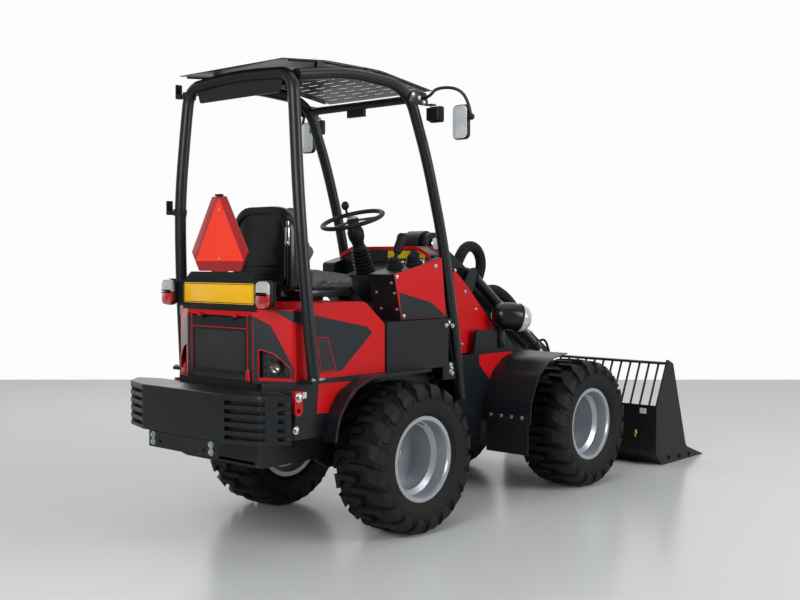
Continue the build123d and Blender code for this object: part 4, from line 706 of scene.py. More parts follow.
@dataclass
class Hoses:
    """Two humps of hose in a braided sleeve on the boom's back."""

    radius: float = 0.032
    pivot: Point = (0.660, 1.414)
    knee: Point = (1.800, 0.720)
    # Columns: along the boom's upper beam, above its axis.
    rear: tuple[Point, ...] = ((0.350, 0.084), (0.350, 0.150), (0.372, 0.212), (0.425, 0.248),
                               (0.485, 0.248), (0.540, 0.212), (0.565, 0.150), (0.565, 0.084))
    front: tuple[Point, ...] = ((0.690, 0.096), (0.718, 0.122), (0.768, 0.142), (0.835, 0.151),
                                (0.905, 0.150), (0.972, 0.141), (1.022, 0.121), (1.050, 0.095))

    def place(self, along: float, above: float, y: float = 0.0) -> Vector:
        """Return the point in the frame for a place along and above the boom's upper beam."""
        span = Vector((self.knee[0] - self.pivot[0], self.knee[1] - self.pivot[1])).normalized()
        return at(self.pivot[0] + span.x * along - span.y * above, y,
                  self.pivot[1] + span.y * along + span.x * above)

    def hump(self, name: str, node: str, rows: Sequence[Point]) -> None:
        """Lay one hump along its route.

        Args:
            name: The piece's name.
            node: The CAD hose that it stands for.
            rows: Its route, along and above the beam.
        """
        points = [self.place(along, above) for along, above in rows]
        piece = pipe(name, points, self.radius, SLEEVE, [node], body="boom_arm")

    @staticmethod
    def length(points: Sequence[Vector], runs: float) -> float:
        """Return the length of the smooth line that the route's points control."""
        middles = [points[0], *[(a + b) / 2 for a, b in zip(points[1:-1], points[2:-1])],
                   points[-1]]
        total = 0.0
        for start, control, end in zip(middles, points[1:-1], middles[1:]):
            steps = [start.lerp(control, t / 16).lerp(control.lerp(end, t / 16), t / 16)
                     for t in range(17)]
            total += sum((b - a).length for a, b in zip(steps, steps[1:]))
        return min(total, runs)

    def build(self) -> None:
        """Lay both humps."""
        self.hump("rear_hose_sleeve", "rear_hose", self.rear)
        self.hump("front_hose_sleeve", "front_hose", self.front)


@dataclass
class Wheels:
    """Four lugged tyres on deep silver rims."""

    half_track: float = 0.475
    tread_depth: float = 0.026
    lugs_per_side: int = 20
    crown_end: float = 0.118
    crown_drop: float = 0.005
    shoulder: float = 0.030
    shoulder_fall: float = 0.0155
    lug_end: float = 0.188
    nuts: int = 5
    nut_circle: float = 0.058
    root: float = 0.004
    lug_edge: float = 0.0018
    # Where a lug is cut across, so that it bends round the shoulder.
    cuts: tuple[float, ...] = (0.02, 0.05, 0.074, 0.085, 0.096, 0.108, 0.118, 0.128, 0.138, 0.148,
                               0.158, 0.168, 0.178)
    # One lug unrolled. Columns: mm round the wheel, mm outboard along the tread.
    lug: tuple[Point, ...] = ((-15, -22), (15, -22), (15, 74), (50, 96), (98, 152), (92, 188),
                              (26, 188), (8, 150), (-15, 84))

    def surface(self, along: float) -> tuple[Vector, Vector]:
        """Return the place (outboard, radius) and normal on the carcass under the tread.

        Args:
            along: Metres outboard along the tread's surface.
        """
        base = TYRE_RADIUS - self.tread_depth
        side = abs(along)
        if side <= self.crown_end:
            drop = self.crown_drop * (side / self.crown_end) ** 2
            return Vector((along, base - drop)), Vector((0.0, 1.0))
        turn = min((side - self.crown_end) / self.shoulder, math.pi / 2)
        place = Vector((self.crown_end + self.shoulder * math.sin(turn),
                        base - self.crown_drop - self.shoulder * (1 - math.cos(turn))))
        place.y -= max(side - self.crown_end - self.shoulder * math.pi / 2, 0.0)
        return place, Vector((math.sin(turn), math.cos(turn)))

    def height(self, along: float) -> float:
        """Return the lug's height above the carcass, lower at the shoulder and foot."""
        side = abs(along)
        fall = min(max((side - 0.100) / 0.060, 0.0), 1.0)
        foot = min(max((self.lug_end - side) / 0.020, 0.15), 1.0)
        return (self.tread_depth - self.shoulder_fall * fall * fall * (3 - 2 * fall)) * foot

    def lug_mesh(self, shape: Shape) -> None:
        """Draw one lug flat, cut it across and wrap it on the carcass."""
        mesh = shape.mesh
        verts = [mesh.verts.new((u / 1000, v / 1000, 0.0)) for u, v in self.lug]
        mesh.faces.new(verts)
        grown = bmesh.ops.extrude_face_region(mesh, geom=list(mesh.faces), use_keep_orig=True)
        top = [g for g in grown["geom"] if isinstance(g, bmesh.types.BMVert)]
        bmesh.ops.translate(mesh, verts=top, vec=(0, 0, 1))
        middle = sum((v.co for v in top), Vector()) / len(top)
        for vert in top:
            vert.co.x += (middle.x - vert.co.x) * 0.05
        for cut in self.cuts:
            bmesh.ops.bisect_plane(mesh, geom=list(mesh.verts) + list(mesh.edges)
                                   + list(mesh.faces), plane_co=(0, cut, 0), plane_no=(0, 1, 0))
        for vert in mesh.verts:
            round_by, along, rise = vert.co
            place, normal = self.surface(along)
            spot = place + normal * (rise * (self.height(along) + self.root) - self.root)
            angle = round_by / TYRE_RADIUS
            vert.co = (-spot.y * math.sin(angle), -spot.x, spot.y * math.cos(angle))
        edges = [e for e in mesh.edges if len(e.link_faces) == 2 and e.calc_face_angle(0) > 0.9]
        bmesh.ops.bevel(mesh, geom=edges, offset=self.lug_edge, segments=1, profile=0.5,
                        affect="EDGES", material=-1, clamp_overlap=True)

    def treads(self, shape: Shape) -> None:
        """Repeat the lug round both halves of the tread, half a pitch apart."""
        mesh = shape.mesh
        self.lug_mesh(shape)
        pitch = math.tau / self.lugs_per_side
        far = bmesh.ops.duplicate(mesh, geom=list(mesh.verts) + list(mesh.edges)
                                  + list(mesh.faces))
        verts = [g for g in far["geom"] if isinstance(g, bmesh.types.BMVert)]
        faces = [g for g in far["geom"] if isinstance(g, bmesh.types.BMFace)]
        turn = Matrix.Rotation(pitch / 2, 4, "Y") @ Matrix.Diagonal((1, -1, 1, 1))
        bmesh.ops.transform(mesh, matrix=turn, verts=verts)
        bmesh.ops.reverse_faces(mesh, faces=faces)
        bmesh.ops.spin(mesh, geom=list(mesh.verts) + list(mesh.edges) + list(mesh.faces),
                       cent=(0, 0, 0), axis=(0, 1, 0), angle=math.tau - pitch,
                       steps=self.lugs_per_side - 1, use_duplicate=True)

    def carcass(self, shape: Shape) -> None:
        """Spin the casing, with its rim guard and bead."""
        half = [tuple(self.surface(step * 0.0118)[0]) for step in range(11)]
        half += [tuple(self.surface(self.crown_end + self.shoulder * math.pi / 2 * step / 6)[0])
                 for step in range(1, 7)]
        half += [(0.150, 0.296), (0.1515, 0.278), (0.1515, 0.262), (0.149, 0.246),
                 (0.1465, 0.238), (0.147, 0.233), (0.144, 0.226), (0.138, 0.222), (0.134, 0.214),
                 (0.128, 0.209), (0.112, 0.2075), (0.112, 0.191)]
        rows = [(radius, -across) for across, radius in reversed(half)]
        rows += [(radius, across) for across, radius in half[1:]]
        shape.lathe(rows, (0, 0, 0), (0, 1, 0), steps=96)

    def tyre(self, end: str, side: str) -> None:
        """Dress one wheel with its tyre.

        Args:
            end: Front or rear.
            side: Left or right.
        """
        hand = 1 if side == "left" else -1
        axle = REAR_AXLE if end == "rear" else FRONT_AXLE
        centre = Vector((axle, hand * self.half_track, WHEEL_CENTRE_Z))
        body = f"{end}_{side}_wheel"
        shape = Shape()
        self.treads(shape)
        self.carcass(shape)
        self.stand(shape, centre, hand)
        shape.done(f"{end}_{side}_lugged_tyre", TREAD, [f"{end}_{side}_tyre"], body=body, sharp=38)
        hardware = Shape()
        for turn in range(self.nuts):
            angle = math.tau * turn / self.nuts + 0.3
            spot = Vector((self.nut_circle * math.sin(angle), 0.081,
                           self.nut_circle * math.cos(angle)))
            hardware.bolt(spot, (0, -1, 0), 0.019)
        hardware.rod((0.0, -0.1, 0.170), (0.0, -0.135, 0.166), 0.004, sides=12)
        self.stand(hardware, centre, hand)
        hardware.done(f"{end}_{side}_wheel_nuts", ZINC, body=body, slot="rim_silver")

    @staticmethod
    def stand(shape: Shape, centre: Vector, hand: int) -> None:
        """Turn a wheel's mesh to its side and set it on its axle.

        Args:
            shape: The mesh, drawn for the right side about the origin.
            centre: The wheel's centre.
            hand: +1 for left and -1 for right.
        """
        flip = Matrix.Diagonal((1, -1 if hand > 0 else 1, 1, 1))
        bmesh.ops.transform(shape.mesh, matrix=Matrix.Translation(centre) @ flip,
                            verts=list(shape.mesh.verts))

    def build(self) -> None:
        """Dress the four wheels."""
        for end in ("rear", "front"):
            for side in ("left", "right"):
                self.tyre(end, side)


def side_film(name: str, rows: Sequence[Point], level: float, finish: Finish,
              body: str = "rear_half", both: bool = True) -> Object:
    """Stick a thin film on the machine's sides.

    Args:
        name: The piece's name.
        rows: Its outline in x and z, with corner radii.
        level: How far out from the middle it lies.
        finish: Its finish.
        body: The CAD body that it rides on.
        both: Whether the left side has one too.

    Returns:
        The finished object.
    """
    shape = Shape()
    shape.plate(rows, View.SIDE, -level, -SKIN)
    if both:
        shape.on_both_sides()
    return shape.done(name, finish, body=body)


@dataclass
class Tail:
    """The counterweight, bolts, plate, triangle, tail lamps and skirt films."""

    weight_face: float = -0.977
    weight_foot: float = 0.536
    weight_height: float = 0.212
    groove: float = 0.0185
    groove_pitch: float = 0.0375
    groove_depth: float = 0.030
    grooves: int = 5
    first_groove: float = 0.018
    bank_start: float = -0.8211
    plate_face: float = -0.765
    skirt: float = 0.420
    # Half of the counterweight seen from above. Columns: x, y, corner radius.
    weight_half: tuple[Point, ...] = (
        (-0.9770, 0.296, 0.030), (-0.9698, 0.320, 0), (-0.9250, 0.4700, 0.040),
        (-0.9060, 0.4865, 0), (-0.8647, 0.5222, 0), (-0.8211, 0.5600, 0.003),
        (-0.7705, 0.4300, 0.004))

    def weight(self) -> None:
        """Cast the counterweight, with two banks of grooves at each corner."""
        shape = Shape()
        mesh = shape.mesh
        rows = [(x, -y, r) for x, y, r in self.weight_half]
        rows += [(x, y, r) for x, y, r in reversed(self.weight_half)]
        shape.plate(rows, View.PLAN, self.weight_foot, self.weight_height, 0.0)
        starts = [self.weight_foot + self.first_groove + self.groove_pitch * index
                  for index in range(self.grooves)]
        for level in [*starts, *(low + self.groove for low in starts)]:
            bmesh.ops.bisect_plane(mesh, geom=list(mesh.verts) + list(mesh.edges)
                                   + list(mesh.faces), plane_co=(0, 0, level),
                                   plane_no=(0, 0, 1))
        mesh.normal_update()
        bmesh.ops.recalc_face_normals(mesh, faces=list(mesh.faces))
        chosen = []
        for face in mesh.faces:
            middle = face.calc_center_median()
            out, x = abs(middle.y), middle.x - REAR_AXLE
            in_bank = 0.3000 < out < 0.4865 or out > 0.5222
            if in_bank and x < self.bank_start and abs(face.normal.z) < 0.5 and any(
                    low < middle.z < low + self.groove for low in starts):
                chosen.append(face)
        bmesh.ops.inset_region(mesh, faces=chosen, thickness=0.0015, depth=-self.groove_depth,
                               use_even_offset=True)
        top = self.weight_foot + self.weight_height
        for level in (self.weight_foot, top):
            shape.soften([v for v in mesh.verts if abs(v.co.z - level) < 1e-5], 0.005, 3)
        shape.done("cast_counterweight", GREY, ["counterweight"])

    def bolts(self) -> None:
        """Bolt the tow plate, mark its holes with dark discs of painted shade, and bolt the eyes
        to the skirts.
        """
        shape = Shape()
        for row in (-0.212, 0.212):
            for height in (0.487, 0.519):
                shape.bolt(at(self.weight_face, row, height), (-1, 0, 0), 0.018)
        shape.done("tow_plate_bolts", ZINC)
        # Dark rubber discs stand in for the tow plate's holes: painted shade, where the holes are
        # dark inside.
        holes = Shape()
        for row, height in ((0.075, 0.500), (-0.010, 0.497), (-0.090, 0.482)):
            holes.rod(at(self.weight_face - 0.0006, row, height),
                      at(self.weight_face + 0.002, row, height), 0.0055, sides=20)
        holes.done("tow_plate_hole_shade_discs", RUBBER, slot="black_plastic")
        eyes = Shape()
        for side in (-1, 1):
            eyes.bolt(at(-0.665, side * 0.438, 0.716), (0, side, 0), 0.024)
            eyes.bolt(at(-0.666, side * 0.420, 0.567), (0, side, 0), 0.020)
            for x in (-0.632, -0.590):
                eyes.bolt(at(x, side * 0.498, 0.793), (0, 0, 1), 0.013)
        eyes.done("towing_eye_bolts", ZINC)

    def plate(self) -> None:
        """Make the blank plate, its holder's lip and its thin dark border."""
        shape = Shape()
        shape.plate(rectangle(-0.255, 1.126, 0.255, 1.222, 0.012), View.REAR, self.plate_face,
                    0.0045, 0.001)
        shape.done("blank_number_plate", YELLOW, ["number_plate"])
        lip = Shape()
        lip.box(at(-0.7660, -0.2620, 1.0960), at(-0.7585, 0.2620, 1.1258), 0.003)
        lip.done("plate_holder_lip", PLASTIC)
        border = Shape()
        rows = rectangle(-0.2515, 1.1295, 0.2515, 1.2185, 0.009)
        border.plate(rows, View.REAR, self.plate_face, -SKIN, hollow=0.003)
        border.done("plate_border", PLASTIC)

    def triangle(self) -> None:
        """Cover the sign with its bright middle, dark border, cap and rivets."""
        outer = [(-0.150, 1.276, 0.008), (0.150, 1.276, 0.008), (0.205, 1.365, 0.008),
                 (0.050, 1.621, 0.008), (-0.050, 1.621, 0.008), (-0.205, 1.365, 0.008)]
        border = Shape()
        border.plate(outer, View.REAR, -0.7538, -0.0012, 0.0004)
        border.done("slow_sign_border", SIGN_EDGE)
        inner = Shape()
        inner.plate([(-0.176, 1.3225, 0.004), (0.176, 1.3225, 0.004), (0.0, 1.617, 0.006)],
                    View.REAR, -0.7550, -SKIN)
        inner.done("slow_sign_middle", SIGN)
        back = Shape()
        back.plate(outer, View.REAR, -0.7500, 0.0004)
        back.box(at(-0.7625, -0.020, 1.6215), at(-0.742, 0.020, 1.632), 0.002)
        back.box(at(-0.7500, -0.018, 1.300), at(-0.7420, 0.018, 1.628), 0.0015)
        back.done("slow_sign_stay", PLASTIC)
        rivets = Shape()
        for height in (1.335, 1.560):
            rivets.ball(at(-0.7556, 0, height), (0.0014, 0.005, 0.005))
        rivets.done("slow_sign_rivets", ZINC)

    def lamps(self) -> None:
        """Model each tail lamp as a tub with a red and a clear lens."""
        tub, red, clear = Shape(), Shape(), Shape()
        for side in (-1, 1):
            centre = side * 0.345
            slot = rectangle(centre - 0.042, 1.110, centre + 0.042, 1.238, 0.041)
            tub.plate(slot, View.REAR, -0.7605, -0.020, 0.003)
            lens = [(centre - 0.040, 1.113, 0.040), (centre + 0.040, 1.113, 0.040),
                    (centre + 0.040, 1.176, 0.001), (centre - 0.040, 1.176, 0.001)]
            red.plate(lens, View.REAR, -0.7800, -0.0225, 0.007)
            top = [(centre - 0.040, 1.1775, 0.001), (centre + 0.040, 1.1775, 0.001),
                   (centre + 0.040, 1.235, 0.040), (centre - 0.040, 1.235, 0.040)]
            clear.plate(top, View.REAR, -0.7800, -0.0225, 0.007)
            red.rod(at(-0.8015, centre, 1.150), at(-0.8035, centre, 1.150), 0.016, sides=28,
                    soft=0.001)
            clear.rod(at(-0.8015, centre, 1.205), at(-0.8035, centre, 1.205), 0.013, sides=28,
                      soft=0.001)
        tub.done("tail_lamp_tubs", PLASTIC, ["tail_lamps"])
        red.done("tail_lamp_red_lenses", RED_LENS)
        clear.done("tail_lamp_clear_lenses", CLEAR_LENS)

    def skirt_film(self) -> None:
        """Stick the red patches ahead of the towing eyes, with the small label."""
        side_film("skirt_red_film",
                  [(-0.537, 0.629, 0.002), (-0.397, 0.621, 0.002), (-0.217, 0.756, 0.002),
                   (-0.523, 0.765, 0.002)],
                  self.skirt, RED_FILM)
        side_film("lashing_label", rectangle(-0.628, 0.706, -0.600, 0.734, 0.002), self.skirt,
                  WHITE_LABEL)

    def build(self) -> None:
        """Dress the tail."""
        self.weight()
        self.bolts()
        self.plate()
        self.triangle()
        self.lamps()
        self.skirt_film()


@dataclass
class Hood:
    """Films, red seams, perforated plates, handles and the silencer's end on the hood."""

    rear: float = -0.758
    side: float = HOOD_SIDE
    corner: tuple[float, float] = (-0.758, 0.236)
    corner_end: tuple[float, float] = (-0.670, 0.412)

    def side_films(self) -> None:
        """Stick the dark arrow shape on both sides, with its louvre window."""
        side_film("hood_side_film",
                  [(-0.668, 1.103, 0.001), (-0.610, 1.093, 0.002), (-0.553, 1.079, 0.002),
                   (-0.196, 1.010, 0.003), (-0.160, 0.978, 0.003), (-0.368, 0.812, 0.003),
                   (-0.508, 0.812, 0.002), (-0.530, 0.984, 0.002), (-0.606, 1.029, 0.002),
                   (-0.668, 1.052, 0.001)],
                  self.side, FILM)
        window = [(-0.526, 0.978, 0.006), (-0.458, 0.974, 0.006), (-0.402, 0.816, 0.006),
                  (-0.504, 0.817, 0.006)]
        side_film("hood_window_mesh", window, self.side + 0.0004, PERFORATED)
        edge = Shape()
        edge.plate(window, View.SIDE, -self.side - 0.0011, -SKIN, hollow=0.003)
        edge.on_both_sides()
        edge.done("hood_window_seam", RED_FILM)

    def chamfer_matrix(self, side: int) -> Matrix:
        """Return the turn from along and up on a corner's flat to the frame.

        Args:
            side: +1 for left and -1 for right.
        """
        start = Vector((REAR_AXLE + self.corner[0], side * self.corner[1], 0))
        end = Vector((REAR_AXLE + self.corner_end[0], side * self.corner_end[1], 0))
        across = (end - start).normalized()
        up = Vector((0, 0, 1))
        outward = across.cross(up) if side < 0 else up.cross(across)
        matrix = Matrix((across, up, outward)).transposed().to_4x4()
        matrix.translation = start
        return matrix

    def corner_films(self) -> None:
        """Stick the dark film round each corner arch, with its red seam, and the plate with dark
        discs of painted shade for its holes.
        """
        width = (Vector(self.corner_end) - Vector(self.corner)).length
        film, seam, plate, holes = Shape(), Shape(), Shape(), Shape()
        for side in (-1, 1):
            matrix = self.chamfer_matrix(side)
            film.plate([
                (0.002, 0.786), (0.0255, 0.786), (0.0255, 0.929, 0.012), (0.107, 0.9095, 0.04),
                (0.1855, 0.8445, 0.03), (0.1855, 0.797), (width, 0.797),
                (width, 0.846), (0.088, 1.036, 0.004), (0.012, 1.072, 0.004), (0.002, 1.072),
            ], View.REAR, 0.0002, SKIN, matrix=matrix)
            film.plate([(0.100, 1.101), (width, 1.050), (width, 1.101)], View.REAR, 0.0002,
                       SKIN, matrix=matrix)
            arch = [(0.0272, 0.788), (0.0272, 0.920), (0.034, 0.9265), (0.092, 0.9115),
                    (0.112, 0.9035), (0.177, 0.849), (0.1835, 0.838), (0.1835, 0.797)]
            for (x0, z0), (x1, z1) in zip(arch, arch[1:]):
                start, end = matrix @ Vector((x0, z0, 0)), matrix @ Vector((x1, z1, 0))
                seam.rod(start, end, 0.0018, sides=8)
            plate.plate([(0.028, 0.792), (0.028, 0.915, 0.01), (0.062, 0.936, 0.02),
                         (0.094, 0.930, 0.01), (0.192, 0.842, 0.01), (0.192, 0.792)],
                        View.REAR, -0.032, 0.002, matrix=matrix)
            # The plate's holes are dark rubber discs: painted shade, where the holes are dark
            # inside.
            for column in range(5):
                for row in range(4):
                    across, up = 0.050 + 0.030 * column, 0.812 + 0.032 * row
                    if up < 0.925 - max(across - 0.080, 0.0) * 0.85:
                        holes.rod(matrix @ Vector((across, up, -0.031)),
                                  matrix @ Vector((across, up, -0.0295)), 0.0095, sides=20)
        holes.done("hood_corner_hole_shade_discs", RUBBER, slot="black_plastic")
        film.done("hood_corner_film", FILM)
        seam.done("hood_corner_seam", RED)
        plate.done("hood_corner_plate", FILM, slot="black_plastic")

    def rear_face(self) -> None:
        """Stick dark film round the grille door, with red seams, and screen the door."""
        film, seam = Shape(), Shape()
        film.plate(rectangle(-0.2345, 0.786, 0.2345, 0.8045),
                   View.REAR, self.rear, -SKIN)
        for side in (-1, 1):
            low, high = sorted((side * 0.2050, side * 0.2345))
            film.plate(rectangle(low, 0.8045, high, 1.078), View.REAR,
                       self.rear, -SKIN)
            seam.box(at(self.rear - 0.0022, side * 0.2022 - 0.0026, 0.800),
                     at(self.rear + 0.002, side * 0.2022 + 0.0026, 1.078))
        film.done("hood_rear_film", FILM)
        seam.done("hood_rear_seams", RED)
        door = Shape()
        door.box(at(self.rear - 0.0026, -0.1975, 1.0150), at(self.rear - 0.0008, 0.1975, 1.0190))
        door.done("grille_door_seam", RED, body="grille_door")
        mesh = Shape()
        mesh.box(at(self.rear - 0.0006, -0.1815, 0.8225), at(self.rear + 0.0004, 0.1815, 1.0030))
        mesh.done("grille_door_screen", PERFORATED, body="grille_door")

    def handles(self) -> None:
        """Fit the red pull handles over the rubber latches."""
        shape = Shape()
        for side in (-1, 1):
            middle = side * 0.228
            shape.plate([(middle - 0.013, 0.782, 0.003), (middle + 0.013, 0.782, 0.003),
                         (middle + 0.010, 0.834, 0.006), (middle - 0.004, 0.838, 0.003)],
                        View.REAR, self.rear - 0.0185, -0.007, 0.002)
        shape.done("hood_pull_handles", RED, ["hood_latches"])

    def silencer(self) -> None:
        """Sleeve the outlet with a bright tube, open at its end."""
        shape = Shape()
        end, back = at(-0.7086, -0.3287, 0.8425), at(-0.612, -0.3070, 0.8760)
        axis = (end - back)
        length = axis.length
        shape.lathe([(0.0245, 0.0), (0.0272, 0.002), (0.0272, length), (0.0235, length),
                     (0.0235, length - 0.03), (0.0245, 0.0)], back, axis, 40)
        shape.done("silencer_outlet", STAINLESS)

    def build(self) -> None:
        """Dress the hood."""
        self.side_films()
        self.corner_films()
        self.rear_face()
        self.handles()
        self.silencer()


@dataclass
class Seat:
    """The driver's seat: padded cushion and backrest on a moulded shell."""

    voxel: float = 0.006
    frames: int = 20
    cushion_cap: float = 0.012

    def pad(self, name: str, node: str, inset: float, crown: float) -> None:
        """Pad one cushion from the form of its CAD solid.

        Args:
            name: The piece's name.
            node: The CAD node that it stands for.
            inset: How far the stuffing starts inside the solid.
            crown: How far its top is drawn down and in.
        """
        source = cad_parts[node]
        mesh = bmesh.new()
        mesh.from_mesh(source.data)
        bmesh.ops.remove_doubles(mesh, verts=list(mesh.verts), dist=1e-5)
        low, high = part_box(node)
        centre, size = (low + high) / 2, high - low
        for vert in mesh.verts:
            for axis in range(3):
                shrink = 1 - 2 * inset / size[axis]
                vert.co[axis] = centre[axis] + (vert.co[axis] - centre[axis]) * shrink
            if crown:
                rise = (vert.co.z - low.z) / size.z
                vert.co.y *= 1 - 0.30 * max(rise - 0.45, 0.0) ** 1.5 / 0.408
                vert.co.z = low.z + (vert.co.z - low.z) * (1 - crown)
        data = bpy.data.meshes.new(name)
        mesh.to_mesh(data)
        mesh.free()
        piece = bpy.data.objects.new(name, data)
        bpy.context.scene.collection.objects.link(piece)
        self.remesh(piece)
        self.inflate(piece)
        finish = piece.modifiers.new("smooth", "SUBSURF")
        finish.levels = finish.render_levels = 1
        self.bake(piece)
        piece.data.materials.clear()
        piece.data.materials.append(VINYL.material())
        piece.data.shade_smooth()
        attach(piece, "rear_half")
        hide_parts(node)
        LOG.info("%s padded", name)

    def remesh(self, piece: Object) -> None:
        """Give a pad even faces."""
        even = piece.modifiers.new("even", "REMESH")
        even.mode = "VOXEL"
        even.voxel_size = self.voxel
        self.bake(piece)

    def inflate(self, piece: Object) -> None:
        """Blow the pad up as cloth, within a cap."""
        rest = [vert.co.copy() for vert in piece.data.vertices]
        cloth = piece.modifiers.new("cloth", "CLOTH")
        cloth.settings.use_pressure = True
        cloth.settings.uniform_pressure_force = 4.0
        cloth.settings.effector_weights.gravity = 0.0
        cloth.settings.quality = 5
        scene = bpy.context.scene
        for frame in range(1, self.frames + 1):
            scene.frame_set(frame)
        self.bake(piece)
        for vert, start in zip(piece.data.vertices, rest):
            move = vert.co - start
            if move.length > self.cushion_cap:
                vert.co = start + move.normalized() * self.cushion_cap
        scene.frame_set(1)

    @staticmethod
    def bake(piece: Object) -> None:
        """Apply a piece's modifiers to its mesh."""
        graph = bpy.context.evaluated_depsgraph_get()
        mesh = bpy.data.meshes.new_from_object(piece.evaluated_get(graph))
        piece.modifiers.clear()
        piece.data = mesh

    def shell(self) -> None:
        """Mould the round-topped back shell with its recess and ribs, and the pan."""
        shape = Shape()
        rear = -0.5025
        rows = [(-0.213, 1.180, 0.03), (0.213, 1.180, 0.03), (0.213, 1.583, 0.13),
                (-0.213, 1.583, 0.13)]
        shape.plate(rows, View.REAR, rear, 0.048, 0.008)
        shape.plate([(-0.196, 1.200, 0.02), (0.196, 1.200, 0.02), (0.196, 1.566, 0.115),
                     (-0.196, 1.566, 0.115)], View.REAR, rear + 0.001, -0.007, 0.003,
                    hollow=0.022)
        for height in (1.300, 1.240):
            shape.box(at(rear - 0.006, -0.176, height - 0.006),
                      at(rear + 0.002, 0.176, height + 0.006), 0.003)
        shape.box(at(-0.425, -0.195, 1.1465), at(-0.080, 0.195, 1.1835), 0.008)
        shape.box(at(-0.380, -0.150, 1.1305), at(-0.230, 0.150, 1.1470), 0.002)
        shape.box(at(-0.482, -0.120, 1.150), at(-0.414, 0.120, 1.250), 0.004)
        shape.done("seat_shell", SHELL, ["seat_frame"])
        latch = Shape()
        latch.box(at(-0.5095, -0.2065, 1.395), at(-0.5015, -0.1820, 1.480), 0.002)
        latch.box(at(-0.5070, -0.2020, 1.480), at(-0.5015, -0.1870, 1.510), 0.002)
        latch.rod(at(-0.5015, -0.194, 1.408), at(-0.5150, -0.194, 1.408), 0.009, soft=0.002)
        latch.done("seat_side_latch", ZINC)
        seams = Shape()
        for y in (-0.075, 0.075):
            seams.rod(at(-0.350, y, 1.2835), at(-0.080, y, 1.2505), 0.0022, sides=8)
        seams.done("cushion_piping", VINYL)

    def build(self) -> None:
        """Build the seat."""
        self.pad("padded_cushion", "seat_cushion", 0.006, 0.0)
        self.pad("padded_backrest", "seat_backrest", 0.006, 0.155)
        self.shell()


